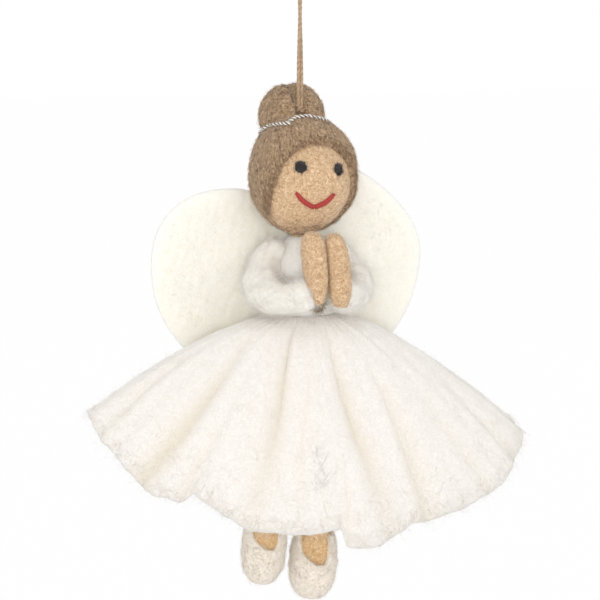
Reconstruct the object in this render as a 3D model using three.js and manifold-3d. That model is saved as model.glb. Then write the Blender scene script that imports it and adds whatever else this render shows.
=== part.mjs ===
// Felt angel ornament that hangs on a doubled jute twine. Millimetres, +Z up, facing -Y.
// The origin is the point where a hook bears on the inside of the twine eye.
// Left and right are the figure's own sides: its left side is at +X.
import * as THREE from 'three';
import { mergeVertices } from 'three/addons/utils/BufferGeometryUtils.js';
import Module from 'manifold-3d';

const wasm = await Module();
wasm.setup();

// Clearances: between pieces that are sewn together, and between pieces that turn
const GAP = 0.3;
const RUNNING_GAP = 0.5;

// Twine, its knots and the routes of its three stretches
const TWINE_DIAMETER = 1.15;
const EYE_KNOT_DIAMETER = 3.4;
const EYE_KNOT_DROP = 11.5;
const ANCHOR_KNOT_DIAMETER = 2.6;
const ANCHOR_KNOT_DROP = 51.2;
const ANCHOR_TAIL_DIAMETER = 1;
const ANCHOR_TAIL_LENGTH = 5;
const EYE_ROUTE = [
  [0, -0.72, -10.6], [0, -0.8, -9.6], [0, -2.6, -7.5], [0, -3.4, -4.5], [0, -2.6, -1.4],
  [0, 0, 0.575],
  [0, 2.6, -1.4], [0, 3.4, -4.5], [0, 2.6, -7.5], [0, 0.8, -9.6], [0, 0.72, -10.6],
];
const STRAND_ROUTE = [
  [0.72, 0, -50.6], [0.71, 0.1, -40], [0.56, 0.46, -30], [0.2, 0.71, -20], [0, 0.72, -12.4],
];

// Head and hair. The topknot stands on an axis through the middle of the head, tilted backwards.
const HEAD_RADIUS = 16;
const HAIR_THICKNESS = 1.4;
const TOPKNOT_TILT = 30;
const BAND_HEIGHT = 19.5;
const BAND_RADIUS = 10.6;
const BAND_CORD_DIAMETER = 1.5;
const CROWN_RADIUS = 13;
const CROWN_HEIGHT = 16;
const CROWN_FULLNESS = 1.2;
const BUN_HEIGHT = 14;
const BUN_RADIUS = 10.8;
const BUN_CLEFT_DIAMETER = 2.4;
const BUN_CLEFT_OFFSET = 1.6;
const BUN_CLEFT_HEIGHT = 4.2;
const BUN_PROFILE = [[0.944, 0], [1, 0.3], [0.88, 0.66], [0.55, 0.92], [0, 1]];
const KNOT_ABOVE_BAND = 2;
const KNOT_FROM_AXIS = 9;
const FACE_HALF_WIDTH = 14.2;
const FACE_CENTRE_DROP = 1.6;
const FACE_JAW_FORWARD = 3;

// Face
const FACE_TURN = 2;
const FACE_ROLL = 5;
const EYE_DIAMETER = 3.7;
const EYE_BULGE = 1;
const EYE_LONGITUDE = 25;
const EYE_LATITUDE = 16;
const SMILE_SHIFT = -3.5;
const SMILE_HALF_ANGLE = 24.5;
const SMILE_CORNER_LATITUDE = -13.5;
const SMILE_MIDDLE_LATITUDE = -30;
const SMILE_BEND_SHARE = 0.55;
const SMILE_BEND_DEPTH = 0.78;
const SMILE_STITCH_DIAMETER = 1.5;

// Neck and torso, with heights measured down from the top of the torso
const NECK_LENGTH = 5.7;
const NECK_RADIUS = 4.2;
const TORSO_TOP_RADIUS = 4.6;
const CHEST_DROP = 9;
const CHEST_RADIUS = 9.2;
const UPPER_CHEST_RADIUS = 8.3;
const WAIST_DROP = 23;
const WAIST_RADIUS = 8.2;
const SEAT_DROP = 28.5;
const SEAT_RADIUS = 9;
const STUB_RADIUS = 4.3;
const STUB_LENGTH = 6.5;
const STUB_ROUND = 1.2;
const SEAT_SLOPE_DROP = 1.6;
const BODICE_THICKNESS = 1.3;
const BODICE_TOP_DROP = 2.5;
const WIRE_DIAMETER = 1.2;
const WIRE_INTO_HEAD = 8;

// Arms: the shoulder ball, then points of the arm measured from the top of the torso
const SHOULDER_OUT = 10.5;
const SHOULDER_DROP = 3;
const SHOULDER_RADIUS = 5.2;
const ELBOW_OUT = 15;
const ELBOW_FORWARD = 5;
const ELBOW_DROP = 13.2;
const ELBOW_RADIUS = 7.7;
const UPPER_SLEEVE_RADIUS = 7.2;
const FOREARM_RADIUS = 7.4;
const WRIST_OUT = 7;
const WRIST_FORWARD = 19.5;
const WRIST_DROP = 14.6;
const WRIST_RADIUS = 5.2;
const ARM_OPENING = 40;
const HAND_LENGTH = 24.5;
const HAND_HALF_THICKNESS = 4.2;
const HAND_HALF_WIDTH = 4.3;
const HAND_FORWARD = 23.4;
const HAND_RISE = 7.7;
const PALM_PRESS = 0.6;
const WIRE_INTO_HAND = 6.1;
const HAND_PROFILE = [[0, 0], [0.52, 0.12], [0.92, 0.42], [1, 0.72], [0.66, 0.94], [0, 1]];

// Skirt: a felt sheet gathered at the waist, wider to the sides than to the front and back
const FELT_THICKNESS = 1.2;
const COLLAR_HEIGHT = 1.2;
const SKIRT_SIDE_SPREAD = 0.896;
const SKIRT_SIDE_SPREAD_SHIFT = -0.035;
const SKIRT_FRONT_SPREAD = 0.388;
const SKIRT_BACK_SPREAD = 0.227;
const SKIRT_LENGTH = 74.5;
const SKIRT_LENGTH_SHIFT = 5;
const SKIRT_SHOULDER_SHARE = 0.4;
const SKIRT_SHOULDER_DROP_SHARE = 0.12;
const FOLD_DEPTH = 4.6;
const FOLD_BACK_SHARE = 0.35;
const FOLD_GROWTH = 1.4;
const FOLD_VALLEYS = [-91, -36, 0, 57, 108, 160, 214];
const THREAD_DIAMETER = 0.8;

// Wings: two halves of a felt heart, sewn to the back of the chest
const WING_THICKNESS = 2.5;
const WING_EDGE_ROUND = 0.6;
const WING_SEAM_DROP = 7;
const WING_DIP = 12;
const WING_LOBE_HEIGHT = 27;
const WING_SPAN = 47;
const WING_TIP_DROP = 55;
const WING_LEAN_MARGIN = 1.3;
const WING_HAIR_CLEARANCE = 0.6;
const WING_SEAM_TOP = 8;
const WING_SEAM_LENGTH = 20;
// Curve points of the outline: shares of the span, and of the lobe height above the seam or the tip drop below it
const WING_CURVES = [
  [[0.15, 0.85], [0.3, 1], [0.5, 1]],
  [[0.8, 1], [1, 0.6], [1, 0.11]],
  [[1, -0.3], [0.45, -0.72]],
];

// Legs and slippers: the figure hangs, so its toes point down
const HIP_DROP = 33;
const HIP_RADIUS = 3.4;
const THIGH_RADIUS = 3.8;
const ANKLE_RADIUS = 3;
const LEFT_LEG_LENGTH = 60;
const RIGHT_LEG_LENGTH = 55.5;
const LEG_LEAN_BACK = 5.3;
const LEFT_LEG_LEAN = 1.8;
const RIGHT_LEG_LEAN = 2.8;
const FOOT_RADIUS = 5.4;
const FOOT_LENGTH = 20.5;
const FOOT_PROFILE = [[0, 1], [0.6, 0.9], [1, 0.55], [0.86, 0.22]];
const SLIPPER_THICKNESS = 2;
const SLIPPER_RIM_DROP = 3;
const SLIPPER_MOUTH_HALF_WIDTH = 4.7;
const SLIPPER_MOUTH_DEPTH = 9;

// Facets
const WELD = 1e-4;
const ROUND_STEPS = 20;
const LIMB_STEPS = 12;
const SMALL_STEPS = 10;
const CORD_SIDES = 8;
const CURVE_STEPS = 6;
const PROFILE_STEPS = 12;
const RING_STEPS = 30;
const TWINE_STEP = 2.3;
const STITCH_STEP = 1.2;
const WIRE_STEP = 4.8;
const FOLD_STEPS = 8;
const SKIRT_ROWS = [0, 0.08, 0.2, 0.36, 0.52, 0.68, 0.84, 1];
const DOME = [90, 60, 30].map(THREE.MathUtils.degToRad);
const HAIR_DOME = [90, 72, 54, 36, 18].map(THREE.MathUtils.degToRad);
const FULL_TURN = 360;
const UP = new THREE.Vector3(0, 0, 1);
const MIDDLE = new THREE.Vector3();

const radians = THREE.MathUtils.degToRad;
const point = (x, y, z) => new THREE.Vector3(x, y, z);

// Places worked out from the sizes above
const eyeKnot = point(0, 0, -EYE_KNOT_DROP);
const anchorKnot = point(0, 0, -ANCHOR_KNOT_DROP);
const topknotTurn = new THREE.Matrix4().makeRotationX(-radians(TOPKNOT_TILT));
const uprightTurn = topknotTurn.clone().invert();
const knotOnTopknot = point(0, -KNOT_FROM_AXIS, BAND_HEIGHT + KNOT_ABOVE_BAND);
const knotOnHead = knotOnTopknot.clone().applyMatrix4(topknotTurn);
const headPlace = anchorKnot.clone().sub(knotOnHead);
const hairRadius = HEAD_RADIUS + GAP + HAIR_THICKNESS;
const bodyPlace = headPlace.clone().add(point(0, 0, -HEAD_RADIUS - NECK_LENGTH));
const headAboveBody = point(0, 0, HEAD_RADIUS + NECK_LENGTH);
const wireRadius = WIRE_DIAMETER / 2;
const threadRadius = THREAD_DIAMETER / 2;
const chestOuter = CHEST_RADIUS + GAP + BODICE_THICKNESS;
const collarRadius = WAIST_RADIUS + GAP + FELT_THICKNESS / 2;
const hipOut = STUB_RADIUS + GAP + HIP_RADIUS + RUNNING_GAP / 2;

// Closed mesh to solid: welded corners, no empty faces, faces outward
function solid(geometry) {
  const bare = new THREE.BufferGeometry();
  bare.setAttribute('position', geometry.getAttribute('position'));
  bare.setIndex(geometry.getIndex());
  const welded = mergeVertices(bare, WELD);
  const corners = welded.getAttribute('position');
  const index = welded.getIndex().array;
  const faces = [];
  let volume = 0;
  const [a, b, c] = [point(), point(), point()];
  for (let i = 0; i < index.length; i += 3) {
    const [j, k, l] = index.slice(i, i + 3);
    if (j === k || k === l || l === j) continue;
    faces.push([j, k, l]);
    a.fromBufferAttribute(corners, j);
    b.fromBufferAttribute(corners, k);
    c.fromBufferAttribute(corners, l);
    volume += a.dot(b.cross(c));
  }
  const outward = volume > 0 ? faces : faces.map(([j, k, l]) => [j, l, k]);
  const mesh = new wasm.Mesh({
    numProp: 3,
    vertProperties: new Float32Array(corners.array),
    triVerts: new Uint32Array(outward.flat()),
  });
  return new wasm.Manifold(mesh);
}

const cut = (body, ...tools) => tools.reduce((left, tool) => left.subtract(solid(tool)), body);
const join = (...shapes) => shapes.map(solid).reduce((whole, part) => whole.add(part));

function geometryOf(body) {
  const mesh = body.getMesh();
  const geometry = new THREE.BufferGeometry();
  geometry.setAttribute('position', new THREE.BufferAttribute(mesh.vertProperties, 3));
  geometry.setIndex(new THREE.BufferAttribute(mesh.triVerts, 1));
  geometry.computeVertexNormals();
  return geometry;
}

function piece(group, name, body, material) {
  const mesh = new THREE.Mesh(geometryOf(body), material);
  mesh.name = name;
  group.add(mesh);
}

// Shapes turned about Z from [radius, height] pairs, straight or as a smooth curve
function turned(profile, steps = ROUND_STEPS) {
  const outline = profile.map(([radius, height]) => new THREE.Vector2(radius, height));
  return new THREE.LatheGeometry(outline, steps).rotateX(Math.PI / 2);
}

function smooth(profile, steps = CURVE_STEPS) {
  const outline = profile.map(([radius, height]) => new THREE.Vector2(radius, height));
  return new THREE.SplineCurve(outline).getPoints(steps).map(({ x, y }) => [x, y]);
}

function ball(radius, centre = MIDDLE, steps = ROUND_STEPS) {
  const geometry = new THREE.SphereGeometry(radius, steps, steps / 2);
  return geometry.rotateX(Math.PI / 2).translate(centre.x, centre.y, centre.z);
}

// Room for a ball: its facets lie outside the radius, where a ball's own lie inside
function ballRoom(radius, centre = MIDDLE, steps = ROUND_STEPS) {
  return ball(radius / Math.cos(Math.PI / steps) ** 2, centre, steps);
}

// Stands a shape that rises along +Z on one point, aimed at another
function between(geometry, from, to) {
  const aim = to.clone().sub(from).normalize();
  const turn = new THREE.Quaternion().setFromUnitVectors(UP, aim);
  return geometry.applyQuaternion(turn).translate(from.x, from.y, from.z);
}

function rod(from, to, radius, sides = CORD_SIDES) {
  const length = from.distanceTo(to);
  return between(turned([[0, 0], [radius, 0], [radius, length], [0, length]], sides), from, to);
}

// A stuffed limb with round ends, whose radii are spaced evenly from one point to the other
function limb(from, to, radii, grow = 0, steps = LIMB_STEPS) {
  const length = from.distanceTo(to);
  const spacing = length / (radii.length - 1);
  const [first, last] = [radii[0] + grow, radii.at(-1) + grow];
  const start = DOME.map((angle) => [first * Math.cos(angle), -first * Math.sin(angle)]);
  const end = DOME.map((angle) => [last * Math.cos(angle), length + last * Math.sin(angle)]);
  const sides = smooth(radii.map((radius, i) => [radius + grow, i * spacing]), 2 * radii.length - 2);
  return between(turned([...start, ...sides, ...end.reverse()], steps), from, to);
}

// A cord or wire of even thickness along a smooth route
function cord(route, diameter, step = TWINE_STEP) {
  const path = new THREE.CatmullRomCurve3(route);
  const section = new THREE.Shape();
  for (let i = 0; i < CORD_SIDES; i += 1) {
    const angle = (i * 2 * Math.PI) / CORD_SIDES;
    const corner = [Math.cos(angle) * diameter / 2, Math.sin(angle) * diameter / 2];
    if (i === 0) section.moveTo(...corner);
    else section.lineTo(...corner);
  }
  const steps = Math.ceil(path.getLength() / step);
  return new THREE.ExtrudeGeometry(section, { steps, bevelEnabled: false, extrudePath: path });
}

function ring(radius, cordDiameter, height, steps = RING_STEPS) {
  return new THREE.TorusGeometry(radius, cordDiameter / 2, CORD_SIDES, steps).translate(0, 0, height);
}

const felt = (colour, roughness = 0.95) =>
  new THREE.MeshStandardMaterial({ color: colour, roughness, metalness: 0 });
const metal = (colour) =>
  new THREE.MeshStandardMaterial({ color: colour, roughness: 0.35, metalness: 1 });

const jute = felt(0xc8a073);
const hairWool = felt(0xa58a6e);
const skinFelt = felt(0xdebc92);
const eyeWool = felt(0x373234);
const smileThread = felt(0xbe322d, 0.7);
const silverCord = metal(0xdcd7c8);
const steelWire = metal(0x8e8f92);
const whiteWool = felt(0xeeeaea);
const skirtFelt = felt(0xfcf9f6);
const wingFelt = felt(0xfaf6e7);
const slipperFelt = felt(0xf0e6d7);
const whiteThread = felt(0xf4f2ee, 0.8);

// Twine: the eye, the knot that closes it and the two strands that carry the figure
function hangTwine(angel) {
  const places = (route) => route.map((place) => point(...place));
  const eyeKnotRoom = ballRoom(EYE_KNOT_DIAMETER / 2 + GAP, eyeKnot, SMALL_STEPS);
  const anchorRoom = ballRoom(ANCHOR_KNOT_DIAMETER / 2 + GAP, anchorKnot, SMALL_STEPS);
  piece(angel, 'twine_eye', cut(solid(cord(places(EYE_ROUTE), TWINE_DIAMETER)), eyeKnotRoom), jute);
  piece(angel, 'eye_knot', solid(ball(EYE_KNOT_DIAMETER / 2, eyeKnot, SMALL_STEPS)), jute);
  const strand = cord(places(STRAND_ROUTE), TWINE_DIAMETER);
  const otherStrand = strand.clone().rotateZ(Math.PI);
  piece(angel, 'twine_strand_left', cut(solid(strand), eyeKnotRoom, anchorRoom), jute);
  piece(angel, 'twine_strand_right', cut(solid(otherStrand), eyeKnotRoom, anchorRoom), jute);
}

// Knot at the hair band, with its tail sewn into the crown
function tail(grow) {
  const end = knotOnTopknot.clone().add(point(0, 0, -ANCHOR_TAIL_LENGTH - grow));
  return rod(end, knotOnTopknot, ANCHOR_TAIL_DIAMETER / 2 + grow);
}

function addAnchorKnot(topknot) {
  const knot = ball(ANCHOR_KNOT_DIAMETER / 2, knotOnTopknot, SMALL_STEPS);
  piece(topknot, 'anchor_knot', join(knot, tail(0)), jute);
}

// Upright slot in the front of the bun, in which the twine runs down to its knot
function twineSlot() {
  const halfWidth = Math.max(ANCHOR_KNOT_DIAMETER / 2, TWINE_DIAMETER + GAP / 2) + GAP;
  const reach = BUN_RADIUS;
  const outline = new THREE.Shape();
  outline.moveTo(-halfWidth, -reach);
  outline.lineTo(halfWidth, -reach);
  outline.lineTo(halfWidth, 0);
  outline.absarc(0, 0, halfWidth, 0, Math.PI);
  const height = halfWidth + 2 * BUN_HEIGHT;
  const settings = { depth: height, bevelEnabled: false, curveSegments: CURVE_STEPS };
  const slot = new THREE.ExtrudeGeometry(outline, settings).translate(0, 0, -halfWidth);
  return slot.translate(knotOnHead.x, knotOnHead.y, knotOnHead.z).applyMatrix4(uprightTurn);
}

// Rolled wool bun: a domed roll with a cleft over its top
function addBun(topknot) {
  const base = BAND_HEIGHT + GAP;
  const outline = BUN_PROFILE.map(([out, up]) => [out * BUN_RADIUS, base + up * BUN_HEIGHT]);
  const profile = smooth(outline, PROFILE_STEPS);
  const cleft = new THREE.TorusGeometry(BUN_RADIUS, BUN_CLEFT_DIAMETER / 2, CORD_SIDES, ROUND_STEPS);
  cleft.rotateY(Math.PI / 2).translate(-BUN_CLEFT_OFFSET, 0, base + BUN_CLEFT_HEIGHT);
  const bandRoom = ring(BAND_RADIUS, BAND_CORD_DIAMETER + 2 * GAP, BAND_HEIGHT);
  const bun = cut(solid(turned([[0, base], ...profile])), cleft, twineSlot(), tail(GAP), bandRoom);
  piece(topknot, 'hair_bun', bun, hairWool);
}

// Combed wool over the head: round below, drawn up to the band, open at the face and the neck
function addHairCap(topknot) {
  const profile = [
    ...HAIR_DOME.map((angle) => [hairRadius * Math.cos(angle), -hairRadius * Math.sin(angle)]),
    ...smooth([
      [hairRadius, 0],
      [(hairRadius + CROWN_RADIUS) / 2 + CROWN_FULLNESS, CROWN_HEIGHT / 2],
      [CROWN_RADIUS, CROWN_HEIGHT],
      [BAND_RADIUS, BAND_HEIGHT],
    ]),
    [0, BAND_HEIGHT],
  ];
  const face = new THREE.Shape();
  face.absarc(0, 0, FACE_HALF_WIDTH, 0, Math.PI);
  face.lineTo(-FACE_HALF_WIDTH, -2 * hairRadius);
  face.lineTo(FACE_HALF_WIDTH, -2 * hairRadius);
  const settings = { depth: 2 * hairRadius, bevelEnabled: false, curveSegments: PROFILE_STEPS };
  const faceRoom = new THREE.ExtrudeGeometry(face, settings).rotateX(Math.PI / 2);
  faceRoom.translate(0, -FACE_JAW_FORWARD, -FACE_CENTRE_DROP);
  faceRoom.rotateY(radians(FACE_ROLL)).rotateZ(radians(FACE_TURN)).applyMatrix4(uprightTurn);
  const nape = rod(point(0, 0, -2 * HEAD_RADIUS), MIDDLE, NECK_RADIUS + RUNNING_GAP, LIMB_STEPS);
  const bandRoom = ring(BAND_RADIUS, BAND_CORD_DIAMETER + 2 * GAP, BAND_HEIGHT);
  const skull = ballRoom(HEAD_RADIUS + GAP);
  nape.applyMatrix4(uprightTurn);
  const cap = cut(solid(turned(profile)), skull, faceRoom, nape, bandRoom, tail(GAP));
  piece(topknot, 'hair_cap', cap, hairWool);
}

// Point on the face, by longitude and latitude in degrees
function facePoint(longitude, latitude) {
  const place = point(0, -HEAD_RADIUS - GAP, 0);
  place.applyAxisAngle(point(1, 0, 0), -radians(latitude));
  place.applyAxisAngle(UP, radians(longitude));
  place.applyAxisAngle(point(0, 1, 0), radians(FACE_ROLL));
  return place.applyAxisAngle(UP, radians(FACE_TURN));
}

function addFace(head) {
  const skull = () => ballRoom(HEAD_RADIUS + GAP, MIDDLE, 2 * ROUND_STEPS);
  for (const [name, side] of [['left_eye', 1], ['right_eye', -1]]) {
    const place = facePoint(side * EYE_LONGITUDE, EYE_LATITUDE);
    const dot = ball(EYE_DIAMETER / 2, MIDDLE, SMALL_STEPS).scale(1, 1, EYE_BULGE / (EYE_DIAMETER / 2));
    const outer = place.clone().multiplyScalar(2);
    piece(head, name, cut(solid(between(dot, place, outer)), skull()), eyeWool);
  }
  const halfSpace = THREE.MathUtils.radToDeg(GAP / HEAD_RADIUS);
  for (const [name, side] of [['mouth_left_stitch', 1], ['mouth_right_stitch', -1]]) {
    const corner = facePoint(SMILE_SHIFT + side * SMILE_HALF_ANGLE, SMILE_CORNER_LATITUDE);
    const low = THREE.MathUtils.lerp(SMILE_CORNER_LATITUDE, SMILE_MIDDLE_LATITUDE, SMILE_BEND_DEPTH);
    const bend = facePoint(SMILE_SHIFT + SMILE_BEND_SHARE * side * SMILE_HALF_ANGLE, low);
    const middle = facePoint(SMILE_SHIFT + side * halfSpace, SMILE_MIDDLE_LATITUDE);
    const stitch = cord([corner, bend, middle], SMILE_STITCH_DIAMETER, STITCH_STEP);
    piece(head, name, cut(solid(stitch), skull()), smileThread);
  }
}

function addHead(angel) {
  const head = new THREE.Group();
  head.position.copy(headPlace);
  angel.add(head);
  const wireEnd = point(0, 0, WIRE_INTO_HEAD - HEAD_RADIUS + GAP);
  const bore = rod(point(0, 0, -2 * HEAD_RADIUS), wireEnd, wireRadius + GAP);
  piece(head, 'head', cut(solid(ball(HEAD_RADIUS)), bore), skinFelt);
  addFace(head);
  const topknot = new THREE.Group();
  topknot.rotation.x = -radians(TOPKNOT_TILT);
  head.add(topknot);
  addAnchorKnot(topknot);
  addHairCap(topknot);
  addBun(topknot);
  piece(topknot, 'hair_band', solid(ring(BAND_RADIUS, BAND_CORD_DIAMETER, BAND_HEIGHT)), silverCord);
}

// Torso outline from the seat up to the neck, thickened by grow
function torsoOutline(grow = 0) {
  return smooth([
    [SEAT_RADIUS + grow, -SEAT_DROP],
    [WAIST_RADIUS + grow, -WAIST_DROP],
    [CHEST_RADIUS + grow, -CHEST_DROP],
    [UPPER_CHEST_RADIUS + grow, -BODICE_TOP_DROP],
    [TORSO_TOP_RADIUS + grow, 0],
  ], PROFILE_STEPS);
}

const shoulderPlace = (side) => point(side * SHOULDER_OUT, 0, -SHOULDER_DROP);
const shoulderRooms = () =>
  [1, -1].map((side) => ballRoom(SHOULDER_RADIUS + RUNNING_GAP, shoulderPlace(side), LIMB_STEPS));
const shoulderWireEnd = () => SHOULDER_OUT - SHOULDER_RADIUS - RUNNING_GAP;

function shoulderWire(grow) {
  const end = point(shoulderWireEnd() + grow, 0, -SHOULDER_DROP);
  const start = end.clone().setX(-end.x);
  return rod(start, end, wireRadius + grow);
}

function neckWire(grow) {
  const low = point(0, 0, -SHOULDER_DROP + wireRadius + GAP - grow);
  const high = point(0, 0, NECK_LENGTH + WIRE_INTO_HEAD);
  return rod(low, high, wireRadius + grow);
}

const hipPlace = (side) => point(side * hipOut, 0, -HIP_DROP);

function hipThread(grow) {
  const reach = point(HIP_RADIUS / 2 + grow, 0, 0);
  return rod(hipPlace(-1).sub(reach), hipPlace(1).add(reach), threadRadius + grow);
}

function addTorso(body) {
  const neckProfile = [
    [0, GAP],
    [TORSO_TOP_RADIUS, GAP],
    [NECK_RADIUS, NECK_LENGTH / 3],
    [NECK_RADIUS, 2 * NECK_LENGTH],
    [0, 2 * NECK_LENGTH],
  ];
  const skullRoom = ballRoom(HEAD_RADIUS + RUNNING_GAP, headAboveBody);
  piece(body, 'neck', cut(solid(turned(neckProfile, LIMB_STEPS)), skullRoom, neckWire(GAP)), skinFelt);
  const stubTop = -SEAT_DROP - SEAT_SLOPE_DROP;
  const stubFoot = stubTop - STUB_LENGTH;
  const core = turned([
    [0, stubFoot],
    [STUB_RADIUS - STUB_ROUND, stubFoot],
    [STUB_RADIUS, stubFoot + STUB_ROUND],
    [STUB_RADIUS, stubTop],
    ...torsoOutline(),
    [0, 0],
  ]);
  const bores = [neckWire(GAP), shoulderWire(GAP), hipThread(GAP)];
  piece(body, 'torso', cut(solid(core), ...shoulderRooms(), ...bores), skinFelt);
  const low = -WAIST_DROP + COLLAR_HEIGHT + GAP + THREAD_DIAMETER;
  const covered = ([, height]) => height > low && height < -BODICE_TOP_DROP;
  const inside = torsoOutline(GAP).filter(covered);
  const outside = torsoOutline(GAP + BODICE_THICKNESS).filter(covered);
  const shell = [...outside, ...inside.reverse(), outside[0]];
  piece(body, 'bodice', cut(solid(turned(shell)), ...shoulderRooms()), whiteWool);
  piece(body, 'neck_wire', solid(neckWire(0)), steelWire);
  piece(body, 'shoulder_wire', solid(shoulderWire(0)), steelWire);
  piece(body, 'hip_thread', solid(hipThread(0)), whiteThread);
}

// Felt paddle, broad above and pointed below, its palm pressed flat against the other hand
function hand(side, grow) {
  const paddle = turned(smooth(HAND_PROFILE, PROFILE_STEPS), LIMB_STEPS);
  paddle.scale(HAND_HALF_THICKNESS + grow, HAND_HALF_WIDTH + grow, HAND_LENGTH + 2 * grow);
  const out = HAND_HALF_THICKNESS - PALM_PRESS + GAP / 2;
  paddle.translate(side * out, -HAND_FORWARD, HAND_RISE - HAND_LENGTH - grow);
  return paddle;
}

function palmSide(side) {
  const reach = 2 * HAND_LENGTH;
  return new THREE.BoxGeometry(reach, reach, reach)
    .translate(side * (GAP / 2 - reach / 2), -HAND_FORWARD, HAND_RISE - HAND_LENGTH / 2);
}

// Wire from the shoulder round the elbow and out of the wrist into the hand
function armWire(side, grow) {
  const inHand = point(side * HAND_HALF_THICKNESS / 2, -HAND_FORWARD, -WRIST_DROP + WIRE_INTO_HAND);
  const route = [
    shoulderPlace(side),
    point(side * ELBOW_OUT, -ELBOW_FORWARD, -ELBOW_DROP),
    point(side * WRIST_OUT, -WRIST_FORWARD, -WRIST_DROP),
    inHand,
  ];
  return cord(route, WIRE_DIAMETER + 2 * grow, WIRE_STEP);
}

function addArm(body, name, side) {
  const arm = new THREE.Group();
  body.add(arm);
  const shoulder = shoulderPlace(side);
  const elbow = point(side * ELBOW_OUT, -ELBOW_FORWARD, -ELBOW_DROP);
  const wrist = point(side * WRIST_OUT, -WRIST_FORWARD, -WRIST_DROP);
  const upper = limb(shoulder, elbow, [SHOULDER_RADIUS, UPPER_SLEEVE_RADIUS, ELBOW_RADIUS]);
  const lower = limb(elbow, wrist, [ELBOW_RADIUS, FOREARM_RADIUS, WRIST_RADIUS]);
  const chestRadius = (chestOuter + RUNNING_GAP) / Math.cos(Math.PI / LIMB_STEPS);
  const chest = [0, 0.5, 1].map((share) => {
    const drum = rod(point(0, 0, -WAIST_DROP), MIDDLE, chestRadius, LIMB_STEPS);
    drum.translate(-shoulder.x, 0, 0).rotateZ(-side * share * radians(ARM_OPENING));
    return drum.translate(shoulder.x, 0, 0);
  });
  const puff = cut(join(upper, lower), ...chest).add(solid(ball(SHOULDER_RADIUS, shoulder, LIMB_STEPS)));
  const handRoom = cut(solid(hand(side, GAP)), palmSide(side).translate(-side * GAP, 0, 0));
  const sleeve = cut(puff, armWire(side, GAP)).subtract(handRoom);
  piece(arm, `${name}_sleeve`, sleeve, whiteWool);
  piece(arm, `${name}_hand`, cut(solid(hand(side, 0)), palmSide(side), armWire(side, GAP)), skinFelt);
  piece(arm, `${name}_arm_wire`, solid(armWire(side, 0)), steelWire);
}

// Profile of the skirt in one direction, from the collar over the waist to the hem.
// A quadratic curve leaves the waist flat and falls towards the hem; the folds swell along its normal.
function skirtProfile(around, phase) {
  const [side, front] = [Math.sin(around), Math.cos(around)];
  const frontness = (1 + front) / 2;
  const deep = THREE.MathUtils.lerp(SKIRT_BACK_SPREAD, SKIRT_FRONT_SPREAD, frontness);
  const wide = SKIRT_SIDE_SPREAD + SKIRT_SIDE_SPREAD_SHIFT * side;
  const length = SKIRT_LENGTH + SKIRT_LENGTH_SHIFT * side;
  const waist = new THREE.Vector2(collarRadius * side, -collarRadius * front);
  const aim = new THREE.Vector2(wide * side, -deep * front);
  const spread = aim.length();
  const run = length * spread;
  const drop = length * Math.sqrt(1 - spread ** 2);
  aim.normalize();
  const shoulder = [SKIRT_SHOULDER_SHARE * run, -SKIRT_SHOULDER_DROP_SHARE * drop];
  const path = SKIRT_ROWS.map((down) => {
    const [bend, fall] = [2 * down * (1 - down), down ** 2];
    return [bend * shoulder[0] + fall * run, bend * shoulder[1] - fall * drop];
  });
  path.unshift([0, COLLAR_HEIGHT]);
  const quiet = THREE.MathUtils.lerp(FOLD_BACK_SHARE, 1, frontness);
  return path.map(([far, height], row) => {
    const before = path[Math.max(row - 1, 0)];
    const after = path[Math.min(row + 1, path.length - 1)];
    const normal = new THREE.Vector2(before[1] - after[1], after[0] - before[0]).normalize();
    const down = row === 0 ? 0 : SKIRT_ROWS[row - 1];
    const fold = -FOLD_DEPTH * quiet * down ** FOLD_GROWTH * Math.cos(phase);
    return { waist, aim, far, height, normal, fold };
  });
}

function skirtRow({ waist, aim, far, height, normal, fold }, offset) {
  const lift = fold + offset;
  const reach = far + lift * normal.x;
  return point(waist.x + reach * aim.x, waist.y + reach * aim.y, height + lift * normal.y - WAIST_DROP);
}

function skirtRings() {
  const rings = [];
  FOLD_VALLEYS.forEach((valley, i) => {
    const next = i + 1 < FOLD_VALLEYS.length ? FOLD_VALLEYS[i + 1] : FOLD_VALLEYS[0] + FULL_TURN;
    for (let step = 0; step < FOLD_STEPS; step += 1) {
      const share = step / FOLD_STEPS;
      const profile = skirtProfile(radians(THREE.MathUtils.lerp(valley, next, share)), 2 * Math.PI * share);
      const outer = profile.map((row) => skirtRow(row, FELT_THICKNESS / 2));
      const inner = profile.map((row) => skirtRow(row, -FELT_THICKNESS / 2));
      rings.push([...outer, ...inner.reverse()]);
    }
  });
  return rings;
}

// Closed rings of equal length joined round into one skin
function lofted(rings) {
  const count = rings[0].length;
  const index = [];
  rings.forEach((ringPoints, i) => {
    const next = ((i + 1) % rings.length) * count;
    for (let j = 0; j < count; j += 1) {
      const k = (j + 1) % count;
      index.push(i * count + j, i * count + k, next + k, i * count + j, next + k, next + j);
    }
  });
  const geometry = new THREE.BufferGeometry().setFromPoints(rings.flat());
  geometry.setIndex(index);
  return geometry;
}

function addSkirt(body, rings) {
  piece(body, 'skirt', solid(lofted(rings)), skirtFelt);
  const threadRing = collarRadius + FELT_THICKNESS / 2 + GAP + threadRadius;
  const height = -WAIST_DROP + COLLAR_HEIGHT / 2 + threadRadius;
  piece(body, 'waist_thread', solid(ring(threadRing, THREAD_DIAMETER, height, ROUND_STEPS)), whiteThread);
}

// The wings lean back just enough to lie behind the skirt
function wingLean(rings, seam) {
  const slopes = rings.flat().map((place) => {
    const depth = seam.z - place.z;
    const room = WING_SPAN * (WING_LEAN_MARGIN - depth / WING_TIP_DROP);
    const behind = depth > 0 && depth < WING_TIP_DROP && Math.abs(place.x) < room;
    return behind ? (place.y + RUNNING_GAP - seam.y) / depth : 0;
  });
  return Math.atan(Math.max(...slopes));
}

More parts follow.
